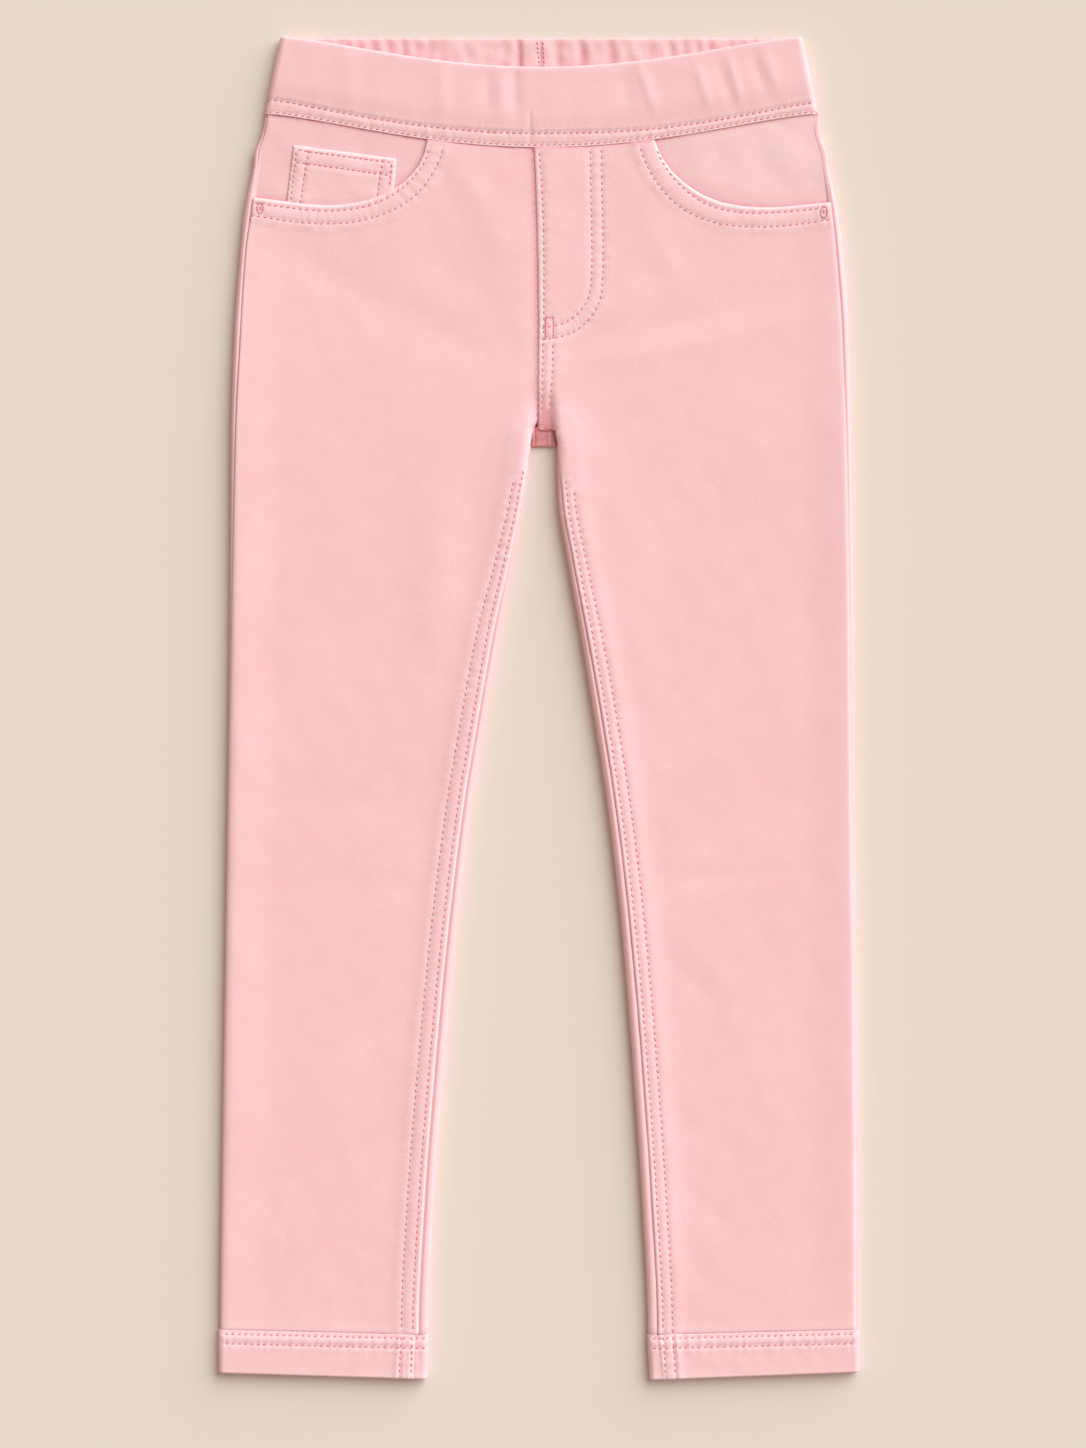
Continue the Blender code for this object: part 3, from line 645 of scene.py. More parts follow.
def cloth_material(name, share=1.0):
    """The pink twill; share darkens it as painted shade where it lies inside."""
    material, shader, make = new_material(name)
    place = make.add("ShaderNodeUVMap", {"uv_map": CLOTH_MAP}).outputs["UV"]
    twill = make.add("ShaderNodeGroup", {"node_tree": TWILL}, Position=place)
    painted_light = make.add("ShaderNodeGroup", {"node_tree": PAINTED_LIGHT_GROUP}, Position=place)
    painted_light.inputs["Colour"].default_value = shaded(PINK, share)
    painted_light.inputs["Highlight Colour"].default_value = shaded(HIGHLIGHT_PINK, share)
    painted_light.inputs["Shade Colour"].default_value = shaded(SHADE_PINK, share)
    value_swing, richness_swing = 0.55, -2.8
    level = make.math("MULTIPLY_ADD", twill.outputs["Tone"], value_swing, 1.0)
    richness = make.math("MULTIPLY_ADD", twill.outputs["Tone"], richness_swing, 1.0)
    toned = make.add("ShaderNodeHueSaturation", Color=painted_light.outputs["Colour"])
    make.set(toned.inputs["Value"], level)
    make.set(toned.inputs["Saturation"], richness)
    bump = make.add("ShaderNodeBump", Strength=0.4, Distance=0.00005)
    make.set(bump.inputs["Height"], twill.outputs["Height"])
    make.set(shader.inputs["Base Color"], toned.outputs["Color"])
    make.set(shader.inputs["Roughness"], painted_light.outputs["Roughness"])
    make.set(shader.inputs["Normal"], bump.outputs["Normal"])
    shader.inputs["Sheen Weight"].default_value = 0.10
    shader.inputs["Sheen Roughness"].default_value = 0.45
    shader.inputs["Sheen Tint"].default_value = shaded(SHEEN)
    shader.inputs["Specular IOR Level"].default_value = 0.25
    return material


def thread_material():
    """The deeper pink thread of the topstitching, with its twisted strands."""
    material, shader, make = new_material("pink thread")
    place = make.add("ShaderNodeTexCoord").outputs["Object"]
    strands = make.noise(place, 700.0, 2.0)
    level = make.math("MULTIPLY_ADD", strands, 0.35, 0.82)
    toned = make.add("ShaderNodeHueSaturation", Color=shaded(THREAD))
    make.set(toned.inputs["Value"], level)
    bump = make.add("ShaderNodeBump", Strength=0.4, Distance=0.00004)
    make.set(bump.inputs["Height"], strands)
    make.set(shader.inputs["Base Color"], toned.outputs["Color"])
    make.set(shader.inputs["Normal"], bump.outputs["Normal"])
    shader.inputs["Roughness"].default_value = 0.55
    shader.inputs["Sheen Weight"].default_value = 0.1
    return material


# ---------------------------------------------------------------- making pieces


def finish_piece(name, mesh, material, nodes=()):
    """Give a mesh its material and its place in the frame."""
    mesh.shade_smooth()
    mesh.materials.append(material)
    piece = bpy.data.objects.new(name, mesh)
    bpy.context.scene.collection.objects.link(piece)
    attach(piece, "root")
    if nodes:
        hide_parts(*nodes)
    return piece


def mesh_from(name, spots, faces, cut_points, surface):
    """A mesh with its cloth map and its painted highlight and painted shade attributes."""
    mesh = bpy.data.meshes.new(name)
    mesh.from_pydata((np.asarray(spots) * MM).tolist(), [], faces)
    layer = mesh.uv_layers.new(name=CLOTH_MAP)
    corners = np.zeros(len(mesh.loops), dtype=np.int32)
    mesh.loops.foreach_get("vertex_index", corners)
    layer.data.foreach_set("uv", np.asarray(cut_points, np.float32)[corners].ravel())
    for key in ("painted_light", "shade"):
        values = np.clip(getattr(surface, key), 0, 1).astype(np.float32)
        mesh.attributes.new(key, "FLOAT", "POINT").data.foreach_set("value", values)
    return mesh


def thicken(piece, wall):
    """Give a laid cut its thickness, downwards."""
    solid = piece.modifiers.new("cloth thickness", "SOLIDIFY")
    solid.thickness = wall * MM
    solid.offset = -1.0


def cloth_piece(names, spots, faces, cloth_map, surface, material, wall=FABRIC):
    """A piece of one layer of cloth, laid in place and thickened. names are its own, those of
    the CAD nodes that it stands for, and what it rests on, which is not used."""
    name, nodes, rests_on = names
    mesh = mesh_from(name, spots, faces, cloth_map, surface)
    piece = finish_piece(name, mesh, material, nodes)
    thicken(piece, wall)
    return piece


def inside(points, outline):
    """Which points lie inside a closed outline."""
    x, y = points.T
    crossed = np.zeros(len(points), bool)
    for (ax, ay), (bx, by) in zip(outline, np.roll(outline, -1, axis=0)):
        if ay != by:
            level = (ay > y) != (by > y)
            crossed ^= level & (x < (bx - ax) * (y - ay) / (by - ay) + ax)
    return crossed


def thinned(points, taken, gap):
    """The points that keep a distance from those already taken and from each other."""
    cells = {}
    for x, y in taken:
        cells.setdefault((int(x // gap), int(y // gap)), []).append((x, y))
    kept = []
    for x, y in points:
        i, j = int(x // gap), int(y // gap)
        near_cells = [(a, b) for a in (i - 1, i, i + 1) for b in (j - 1, j, j + 1)]
        around = [p for cell in near_cells for p in cells.get(cell, ())]
        if all((x - u) ** 2 + (y - v) ** 2 >= gap * gap for u, v in around):
            cells.setdefault((i, j), []).append((x, y))
            kept.append((x, y))
    return kept


def triangulated(outline, rows, spacing, offsets=(0.0, -0.8, 0.8, -1.9, 1.9)):
    """Triangles that fill an outline, fine and in line with the rows of stitches on it.

    Each row comes with the spacing of its points and with its own offsets sideways, or None.
    """
    row_gap, beside_gap, grid_gap = 0.5, 0.62, 0.72 * spacing
    row_height = 0.87 * spacing
    sliver = 0.002
    outline = np.array(outline)
    taken = [tuple(p) for p in outline]
    for row, step, sides in rows:
        path = resample(np.array(row, float), step)
        for offset in sides or offsets:
            moved = path + sideways(path) * offset
            moved = moved[inside(moved, outline)]
            taken += thinned(moved, taken, beside_gap if offset else row_gap)
    low, high = outline.min(0), outline.max(0)
    xs = np.arange(low[0], high[0], spacing)
    ys = np.arange(low[1], high[1], row_height)
    grid = np.stack(np.meshgrid(xs, ys), axis=2)
    grid[1::2, :, 0] += spacing / 2
    grid = grid.reshape(-1, 2)
    grid = grid[inside(grid, outline)]
    taken += thinned(grid, taken, grid_gap)
    points = [Vector(p) for p in taken]
    border = [list(range(len(outline)))]
    done = geometry.delaunay_2d_cdt(points, [], border, 1, 1e-5, False)
    spots = np.array([tuple(p) for p in done[0]])
    faces = np.array([list(f) for f in done[2]])
    faces = faces[inside(spots[faces].mean(axis=1), outline)]
    faces = faces[np.abs(twice_area(spots, faces)) > sliver]
    used, renumbered = np.unique(faces, return_inverse=True)
    return spots[used], renumbered.reshape(faces.shape).tolist()


def twice_area(spots, faces):
    """Twice the area of each triangle, negative where its corners run the other way."""
    a, b, c = (spots[[f[i] for f in faces]] for i in range(3))
    return (b - a)[:, 0] * (c - a)[:, 1] - (b - a)[:, 1] * (c - a)[:, 0]


def facing_up(faces, cut, sign=1):
    """The triangles of a flat cut in an order that turns their outer side up."""
    turned = twice_area(cut, faces)
    return [f if u * sign < 0 else f[::-1] for f, u in zip(faces, turned)]


# ---------------------------------------------------------------- the garment's surface


def half_thickness(drop):
    """Half the thickness at which the legs lie, which is also their folds' radius."""
    return table_at(LOFTS, 1, drop) / 2


def outer_reach(leg, drop):
    return table_at(SIDES, leg.column, drop)


def inner_reach(leg, drop):
    return table_at(INSEAMS, leg.column, drop)


def side_strip(leg, drop):
    return table_at(SIDES, leg.column + STRIP, drop)


def inner_strip(leg, drop):
    return table_at(INSEAMS, leg.column + STRIP, drop)


def over_fold(over, radius):
    """Sideways run and fall of cloth that goes on over a fold, from where the fold begins."""
    turn = np.clip(over / radius, 0, pi)
    past = np.maximum(over - pi * radius, 0)
    return np.where(over > 0, radius * np.sin(turn) - past, over), radius * (1 - np.cos(turn))


def seam_over(radius, strip):
    """How far over a fold a seam lies that leaves a strip of the other layer in view."""
    angle = np.arcsin(np.clip((radius - strip) / radius, -1, 1))
    return np.where(strip < radius, radius * angle, radius - strip)


def side_seam(leg, drop):
    """Reach on the unrolled front of its side seam."""
    radius = half_thickness(drop)
    return outer_reach(leg, drop) - radius + seam_over(radius, side_strip(leg, drop))


def inner_seam(leg, drop):
    """Reach on the unrolled front of its inseam."""
    radius = half_thickness(drop)
    return inner_reach(leg, drop) + radius - seam_over(radius, inner_strip(leg, drop))


def seam_path(seam, leg, drops):
    return path_of(seam(leg, drops), drops)


def hang(share):
    """How far the waistband's front hangs: 1 in the middle, 0 at both side folds."""
    return np.maximum(0.0, 1 - share * share) ** 1.5


def band_foot(x):
    """Drop of the lower edge of the waistband's front."""
    return BAND_DEPTH + BAND_FOOT_DIP * hang(np.clip((x - BAND_SHIFT) / BAND_FOOT_REACH, -1, 1))


def under_band(leg, reach):
    """Drop at which the legs' cloth ends under the waistband."""
    return band_foot(reach * leg.sign) - UNDER_BAND


def hem_top(leg, reach):
    """Drop of the hem's seam."""
    across = (outer_reach(leg, HEM_SEAM_DROP) - reach) / HEM_SEAM_SPAN
    return HEM_SEAM_DROP + HEM_SEAM_DIP * np.clip(across, 0, 1)


def top_surface(leg, cut):
    """Reach, drop and height of points on the unrolled front of a leg."""
    q, drop = cut.T
    radius = half_thickness(drop)
    outer, inner = outer_reach(leg, drop), inner_reach(leg, drop)
    run, fall = over_fold(q - (outer - radius), radius)
    reach = outer - radius + run
    below_crotch = ease((drop - leg.roll_drop) / 9.0)
    inner_run, inner_fall = over_fold(inner + radius - q, radius)
    reach = reach + below_crotch * (inner + radius - inner_run - q) * (q < inner + radius)
    from_fold = q - inner_reach(leg, np.maximum(drop, CROTCH_FOLD_DROP))
    inner_inset = np.hypot(np.maximum(from_fold, 0), np.maximum(CROTCH_FOLD_DROP - drop, 0))
    sink = table_at(LOFTS, 2, drop) * ease((outer - q) / SETTLE_REACH)
    sink *= ease(inner_inset / SETTLE_REACH)
    height = 2 * radius - fall - below_crotch * inner_fall - sink
    return reach, drop, height


# ---------------------------------------------------------------- fronts


def front_outline(leg):
    """Flat cut of a front, from the scoop's mouth round by the side, the hem and the inseam."""
    step = 1.5
    scoop = line(leg.scoop, 0.9, 2.0)
    end = next(i for i, (q, d) in enumerate(scoop) if q > side_seam(leg, d) - 0.1)
    scoop = scoop[:end]
    side = seam_path(side_seam, leg, np.arange(scoop[-1][1] + 0.8, HEM_SEAM_DROP + 1.6, step))
    reaches = np.arange(side[-1][0] - step, inner_seam(leg, np.array(674.0)) + 0.5, -step)
    foot = path_of(reaches, hem_top(leg, reaches) + UNDER_HEM)
    inseam = seam_path(inner_seam, leg, np.arange(674.4, leg.leg_drop, -step))
    centre = fly_edge(leg)[::-1]
    reaches = np.arange(centre[-1][0] + 1.2, scoop[0][0] - 0.5, 1.2)
    top = path_of(reaches, under_band(leg, reaches))
    scoop[0][1] = top[-1][1]
    crotch = resample(np.array([inseam[-1], *leg.cross, centre[0]]), 1.2)[1:-1]
    return np.concatenate([scoop, side, foot, inseam, crotch, centre, top])


def fly_line():
    return line(FLY_EDGE, 1.2, 2.0)


def fly_edge(leg):
    """Edge of a front at the centre: the left front laps over the right one."""
    edge = fly_line()
    if leg is RIGHT:
        edge = path_of(-edge[:, 0] - 3.4, edge[:, 1])
        edge[:, 0] += 3.6 * ease((edge[:, 1] - 190) / 14)
    start = band_foot(edge[0][0]) - UNDER_BAND
    return edge[edge[:, 1] > start]


def inseam_rows(leg):
    """The two rows of stitches beside the inseam."""
    rows = []
    for start, (near_crotch, low) in zip(leg.inseam_starts, INSEAM_ROWS[leg.name]):
        drops = np.arange(start, HEM_SEAM_DROP + 2, 2.0)
        away = near_crotch + (low - near_crotch) * ease((drops - 230) / 110)
        rows.append(path_of(inner_seam(leg, drops) + away, drops))
    return rows


def ring_tack(leg):
    """Closed ring of a bar tack, on the leg's own cut."""
    x, drop, half_width, half_height = RING_TACKS[leg.name]
    turn = np.linspace(0, 2 * pi, 25)
    return path_of(x * leg.sign + half_width * np.cos(turn), drop + half_height * np.sin(turn))


def tacks(leg):
    """Paths of the bar tacks on a front."""
    x, drop, _, half_height = RING_TACKS[leg.name]
    bar = [(x * leg.sign, drop - 0.5 * half_height), (x * leg.sign, drop + 0.5 * half_height)]
    found = [ring_tack(leg), np.array(bar)]
    if leg is LEFT:
        found.append(resample(np.array(FLY_TACK), 0.5))
    return found


def front_rows(leg):
    """Every row of stitches on a front; the last two are those beside the inseam."""
    rows = [sewing_line(row) for row in leg.scoop_rows]
    if leg is LEFT:
        rows += [sewing_line(row) for row in [FLY_ROW, CROTCH_ROW, CROSS_ROW, *J_ROWS]]
    return rows + inseam_rows(leg)


def band_line(leg):
    """The waistband's lower edge on a leg's cut."""
    x = np.arange(-150.0, 150.0, 1.0)
    return path_of(x * leg.sign, band_foot(x))


def hem_line(leg):
    """The hem's seam on a leg's cut."""
    reaches = np.arange(50.0, 175.0, 1.0)
    return path_of(reaches, hem_top(leg, reaches))


def front_surface(leg, cut):
    """Creases, edges, rows and lines of contact of a front, with their painted highlight and
    painted shade.
    """
    surface = Surface(cut)
    reach, drop = cut.T
    mirrored = cut * (leg.sign, 1.0)
    surface.height += 0.85 * crease_relief(mirrored, CREASES)
    surface.height += 0.10 * unevenness(mirrored, 34.0, 3) + 0.05 * unevenness(mirrored, 13.0, 4)
    scoop = line(leg.scoop, 1.0, 2.0)
    # painted highlight along the scoop's lip
    surface.edge(scoop, lift=0.4, width=11.0, roll=0.75, light=0.55, inward=-1)
    rows = front_rows(leg)
    for number, row in enumerate(rows):
        beside_inseam = number >= len(rows) - 2
        surface.stitched(row, depth=0.28 if beside_inseam else 0.36, seed=10 + number)
    for tack in tacks(leg):
        surface.stitched(tack, depth=0.22, pucker=0.0, reach=1.5)
    seam = seam_path(inner_seam, leg, np.arange(leg.leg_drop, 676, 2.0))
    # painted highlight along the inseam's lip
    surface.edge(seam, lift=0.25, width=11.5, roll=0.45, light=0.6)
    seam = seam_path(side_seam, leg, np.arange(84, 676, 2.0))
    # painted highlight along the side seam's lip
    surface.edge(seam, lift=0.0, width=1.0, roll=0.3, light=0.45, inward=-1)
    seam_distance, _ = near(cut, seam, 6)
    # painted shade in the side seam's groove
    surface.shade += 0.35 * bell(seam_distance, 0.45)
    # painted shade along the waistband's lower edge
    surface.contact(band_line(leg) + (0, 0.3), depth=0.15, reach=1.6, dark=0.55)
    surface.height -= 1.1 * ease((band_foot(reach * leg.sign) + 0.35 - drop) / 0.7)
    hem_seam = hem_top(leg, reach)
    # painted shade along the hem's seam
    surface.contact(hem_line(leg) - (0, 0.3), depth=0.0, reach=1.6, dark=0.15)
    surface.height -= 0.85 * ease((drop - hem_seam + 0.15) / 0.6)
    # painted highlight on the ridge just above the hem
    surface.painted_light += 0.25 * bell(drop - (hem_seam - 3.0), 2.0)
    fly(leg, surface)
    return surface


def fly(leg, surface):
    """The mock fly: the left front laps over the right one. Painted highlight on its lip, painted
    shade in the dip to the crotch and beside its edge.
    """
    q, drop = surface.points.T
    edge = fly_line() * (leg.sign, 1.0)
    crotch = ease((208 - drop) / 16)
    side, _ = near(surface.points, edge, 24)
    distance = np.abs(side)
    if leg is LEFT:
        lip = np.where(distance < FAR, crotch * (1 - ease((distance - 5) / 14)), 0)
        surface.height += 0.4 * lip
        # painted highlight along the fly's lip
        surface.edge(edge, lift=0.0, width=4.0, roll=0.7, light=0.65)
        surface.height += 0.3 * bell(q - 16, 14.0) * ease((150 - drop) / 12)
        to_crotch = ease((drop - 178) / 26) * (1 - ease((q - 6.0) / 4.0))
        surface.height -= 2.5 * to_crotch
        # painted shade in the dip down to the crotch
        surface.shade += 0.65 * to_crotch**1.5
    else:
        surface.height -= 3.3 * ease((drop - 180) / 22) * bell(np.maximum(q, 0), 3.2)
        surface.height -= 0.35 * (crotch * bell(distance, 4.5))
        # painted shade in the valley under the lapped edge
        surface.shade += 0.22 * crotch * bell(distance, 3.0) + 0.4 * crotch * bell(distance, 0.9)


def front(leg, material):
    """Front panel of a leg, with its scoop cut out."""
    rows = [(row, STITCH_PITCH / 4, None) for row in front_rows(leg)]
    rows += [(tack, 0.5, (0.0, -0.6, 0.6)) for tack in tacks(leg)]
    rows.append((line(leg.scoop, 1.0, 2.0), 1.2, EDGE_SIDES))
    rows.append((seam_path(inner_seam, leg, np.arange(leg.leg_drop, 674, 2.0)), 1.5, EDGE_SIDES))
    if leg is LEFT:
        rows.append((fly_line(), 1.4, EDGE_SIDES))
    seam = seam_path(side_seam, leg, np.arange(86, 674, 2.0))
    rows.append((seam, 1.8, (-0.7, 0.7, -1.6, 1.6, -2.8, 2.8)))
    rows += [(edge, 1.2, (0.0, *EDGE_SIDES)) for edge in (band_line(leg), hem_line(leg))]
    cut, faces = triangulated(front_outline(leg), rows, 2.3)
    surface = front_surface(leg, cut)
    reach, drop, height = top_surface(leg, cut)
    spots = spots_at(leg.sign * reach, drop, height + surface.height)
    faces = facing_up(faces, cut, leg.sign)
    names = leg.name + "_front", ["front_" + leg.name], leg.name + "_back"
    return cloth_piece(names, spots, faces, cut * (leg.sign, -1), surface, material)


# ---------------------------------------------------------------- backs, waistband and hems

BACK_FOLD = 16  # points across a fold of a back panel, and between its folds
BACK_SPAN = 56


def grid_faces(columns, rows, ring=False, flip=False):
    """Quads of a grid of points, stored row by row. A ring is closed both ways."""
    faces = []
    for j in range(rows if ring else rows - 1):
        here, below = j * columns, (j + 1) % rows * columns
        for i in range(columns if ring else columns - 1):
            k = (i + 1) % columns
            face = [here + i, below + i, below + k, here + k]
            faces.append(face[::-1] if flip else face)
    return faces


def dive_at(distance):
    """How deep a back panel's edge goes at a distance from its seam."""
    return SEAM_DIVE * ease(1 - distance / DIVE_REACH)


def back_row(leg, drop):
    """One row of a back panel, from the side seam round the underside to its inner end: the
    points' places across the cut, their reaches and their heights."""
    at_band = 1 - float(ease((drop - 40.0) / 2.0))
    tuck = at_band + float(ease((drop - HEM_SEAM_DROP + 0.9) / 1.8))
    tuck_in = at_band + float(ease((drop - HEM_SEAM_DROP - 1.7) / 1.8))
    radius = float(half_thickness(drop)) - tuck
    radius_in = float(half_thickness(drop)) - tuck_in
    turn_out = float(outer_reach(leg, drop)) - tuck - radius
    seam = turn_out + pi * radius - float(seam_over(radius, float(side_strip(leg, drop))))
    parted = drop > CROTCH_FOLD_DROP
    if parted:
        turn_in = float(inner_reach(leg, drop)) + tuck_in + radius_in
        over = float(seam_over(radius_in, float(inner_strip(leg, drop))))
        inner_end = turn_in - pi * radius_in + over
    else:
        turn_in = leg.sign * CENTRE_BACK_X + 2.1
        inner_end = turn_in - 2.0
    p = np.concatenate([
        np.linspace(seam + 1.2, turn_out, BACK_FOLD, endpoint=False),
        np.linspace(turn_out, turn_in, BACK_SPAN),
        np.linspace(turn_in, inner_end - 1.2 * parted, BACK_FOLD + 1)[1:],
    ])

    side_turn = np.clip((p - turn_out) / radius, 0, pi)
    dive = dive_at(seam - p)
    past = np.maximum(p - turn_out - pi * radius, 0)
    reach = np.minimum(p, turn_out) + (radius - dive) * np.sin(side_turn) - past
    rise = radius - (radius - dive) * np.cos(side_turn)
    if parted:
        inner_turn = np.clip((turn_in - p) / radius_in, 0, pi)
        dive = dive_at(p - inner_end)
        past = np.maximum(turn_in - p - pi * radius_in, 0)
        folded_in = turn_in - (radius_in - dive) * np.sin(inner_turn) + past
        reach = np.where(p < turn_in, folded_in, reach)
        rise = np.where(p < turn_in, radius_in - (radius_in - dive) * np.cos(inner_turn), rise)
    else:
        rise = rise + 0.6 * ease(1 - (p - inner_end) / 1.4)

    slope = np.clip(p / YOKE_HALF_SPAN, 0, 1)
    yoke = YOKE_CENTRE_DROP + (YOKE_SIDE_DROP - YOKE_CENTRE_DROP) * slope
    rise = rise + 0.45 * bell(drop - yoke, 0.9) * (p < turn_out)
    below_yoke = drop - YOKE_SIDE_DROP
    swell = 0.5 * ease(below_yoke / 1.5) * (1 - ease((below_yoke - 6.0) / 2.5))
    reach = reach + swell * ease((p - turn_out) / radius) * np.sin(side_turn)
    share = np.clip((turn_out - p) / (turn_out - turn_in), 0, 1)
    return p, reach, rise + tuck + (tuck_in - tuck) * share


def back(leg, material):
    """Lower layer of a leg, wrapped up round the side fold and the inner fold."""
    above = np.concatenate([
        np.arange(38.0, 52.0, 2.0), np.arange(52.0, 100.0, 1.0), np.arange(100.0, 210.0, 2.0)
    ])
    below = np.arange(212.9, 674.0, 2.2)
    drops = np.concatenate([above, below, [675.0, 676.2, 677.4]])
    columns = 2 * BACK_FOLD + BACK_SPAN
    spots, cut = [], []
    for drop in drops:
        p, reach, rise = back_row(leg, drop)
        level = np.full(columns, drop)
        spots.append(spots_at(leg.sign * reach, level, rise))
        cut.append(path_of(-leg.sign * p, -level))
    spots = np.concatenate(spots)
    faces = grid_faces(columns, len(drops), flip=leg is RIGHT)
    crotch = (len(above) - 1) * columns + BACK_FOLD + BACK_SPAN
    faces = [f for f in faces if not crotch <= min(f) < crotch + BACK_FOLD]
    corner, corner_surface, corner_faces = crotch_corner(leg)
    faces += [[v + len(spots) for v in f] for f in corner_faces]
    spots = np.concatenate([spots, corner])
    surface = Surface(np.concatenate(cut)).joined(corner_surface)
    names = leg.name + "_back", ["back_" + leg.name, "yoke_" + leg.name], "floor"
    return cloth_piece(names, spots, faces, surface.points, surface, material)


def crotch_corner(leg):
    """The corner of a back panel that folds up between the legs, as far as the cross seam."""
    columns, rows = 22, 36
    radius = CROTCH_FOLD_RADIUS
    start = leg.sign * CROTCH_SEAM_X - 0.1
    end = float(inner_reach(leg, CROTCH_FOLD_DROP)) + 3.0
    q = np.linspace(start, end, columns)
    over = np.linspace(-3.0, pi * radius + 9.0, rows)
    run, rise = over_fold(over, radius)
    folded = ease(over / (pi * radius))[:, None]
    height = 0.05 + rise + 1.1 * ease((over - pi * radius) / 7.0)
    x = leg.sign * q
    ridge_x = 5.6
    ridge = 0.35 * bell(x - ridge_x, 0.8) - 0.3 * bell(x - CROTCH_SEAM_X, 0.7)
    ridge = ridge - 0.1 * bell(x - 3.4, 1.0)
    ridge -= 0.8 * ease((q - end + 4.5) / 3.0)
    height = height[:, None] + folded * ridge
    arch = 0.009 * (x - 2.5) ** 2
    drop = (CROTCH_FOLD_DROP - radius + run)[:, None] + folded * arch
    spots = spots_at(np.broadcast_to(x, height.shape), drop, height)
    cut = np.stack(np.meshgrid(-x, -(CROTCH_FOLD_DROP + over)), axis=2)
    surface = Surface(cut.reshape(-1, 2))
    # painted shade over the deep-set corner, less on its ridge, and a painted highlight along the
    # ridge
    dark = 0.7 + 0.3 * bell(x - CROTCH_SEAM_X, 0.5) - 0.3 * bell(x - ridge_x, 0.7)
    surface.shade += (folded * dark).ravel()
    surface.painted_light += (folded * 0.35 * bell(x - ridge_x, 0.7)).ravel()
    return spots.reshape(-1, 3), surface, grid_faces(columns, rows, flip=leg is LEFT)


def section(top_wall, foot_wall, rows):
    """Profile of a slab of doubled cloth: each point's share of the way down, its inset from the
    outer face, and how far the rounded edge stands out there."""
    half = top_wall / 2
    top = [(0.0, half * (1 - np.cos(a)), -half * np.sin(a)) for a in np.linspace(0, pi, 7)]
    outer = [(s, 0.0, 0.0) for s in np.linspace(1, 0, rows)][1:-1]
    inner = [(s, top_wall + (foot_wall - top_wall) * s, 0.0) for s in np.linspace(0, 1, rows // 2)]
    half = foot_wall / 2
    foot = [(1.0, half * (1 + np.cos(a)), half * np.sin(a)) for a in np.linspace(0, pi, 5)]
    return outer + top + inner[1:-1] + foot


def ring_points(turns, radius, left, right):
    """X, height and outward direction round a flattened ring; turns run from 0 to 1."""
    width = right - left - 2 * radius
    lap = 2 * width + 2 * pi * radius
    s = turns * lap
    x = np.empty_like(s)
    z = np.empty_like(s)
    nx = np.zeros_like(s)
    nz = np.ones_like(s)
    top = s < width
    x[top], z[top] = left + radius + s[top], 2 * radius
    right_fold = (s >= width) & (s < width + pi * radius)
    a = (s[right_fold] - width) / radius
    x[right_fold], z[right_fold] = right - radius + radius * np.sin(a), radius * (1 + np.cos(a))
    nx[right_fold], nz[right_fold] = np.sin(a), np.cos(a)
    low = (s >= width + pi * radius) & (s < 2 * width + pi * radius)
    x[low], z[low] = right - radius - (s[low] - width - pi * radius), 0.0
    nz[low] = -1.0
    left_fold = s >= 2 * width + pi * radius
    a = (s[left_fold] - 2 * width - pi * radius) / radius
    x[left_fold], z[left_fold] = left + radius - radius * np.sin(a), radius * (1 - np.cos(a))
    nx[left_fold], nz[left_fold] = -np.sin(a), -np.cos(a)
    return x, z, nx, nz, s


def ring_piece(name, spots, cut, surface, columns, material, node):
    """A piece that is one closed slab round the garment."""
    faces = grid_faces(columns, len(spots) // columns, ring=True)
    mesh = mesh_from(name, spots_at(*spots.T), faces, cut, surface)
    fix_normals(mesh)
    return finish_piece(name, mesh, material, [node])


def band_surface(flat):
    """Creases and rows of stitches on the front of the waistband, and painted highlight along its
    lower edge and its top rim.
    """
    surface = Surface(flat)
    surface.height += crease_relief(flat, BAND_CREASES) + 0.08 * unevenness(flat, 16.0, 7)
    surface.stitched(sewing_line(BAND_ROW), depth=0.55, pucker=0.12, reach=4.0, seed=31)
    foot = np.arange(-144.0, 147.0, 1.0)
    foot_row = path_of(foot, band_foot(foot) - BAND_EDGE_ROW)
    surface.stitched(foot_row, depth=0.45, pucker=0.10, reach=3.0, seed=32)
    rim = np.arange(-137.0, 139.0, 1.0)
    rim_dip = BAND_TOP_DIP * hang(np.clip((rim - BAND_SHIFT) / BAND_TOP_REACH, -1, 1))
    foot_distance, _ = near(flat, path_of(foot, band_foot(foot)), 20)
    rim_distance, _ = near(flat, path_of(rim, rim_dip), 6)
    # painted highlight along the lower edge and the top rim
    surface.painted_light += 0.6 * bell(foot_distance, 0.9)
    surface.painted_light += 0.2 * bell(rim_distance, 1.4)
    thinner = 1.3 * ease(1 - np.abs(foot_distance) / 18.0)
    return surface, thinner


def band_gathers(flat):
    """Height of the elastic's gathers and the centre seam on the inside of the back."""
    gathers = np.zeros(len(flat))
    for x, half_width, depth in GATHERS:
        gathers -= depth * bell(flat[:, 0] - x, half_width)
    gathers += 0.25 * unevenness(flat, 9.0, 8)
    gathers -= 0.5 * bell(flat[:, 0] - CENTRE_BACK_X, 0.9)
    gathers += 0.35 * bell(np.abs(flat[:, 0] - CENTRE_BACK_X) - 4.0, 3.0)
    return gathers


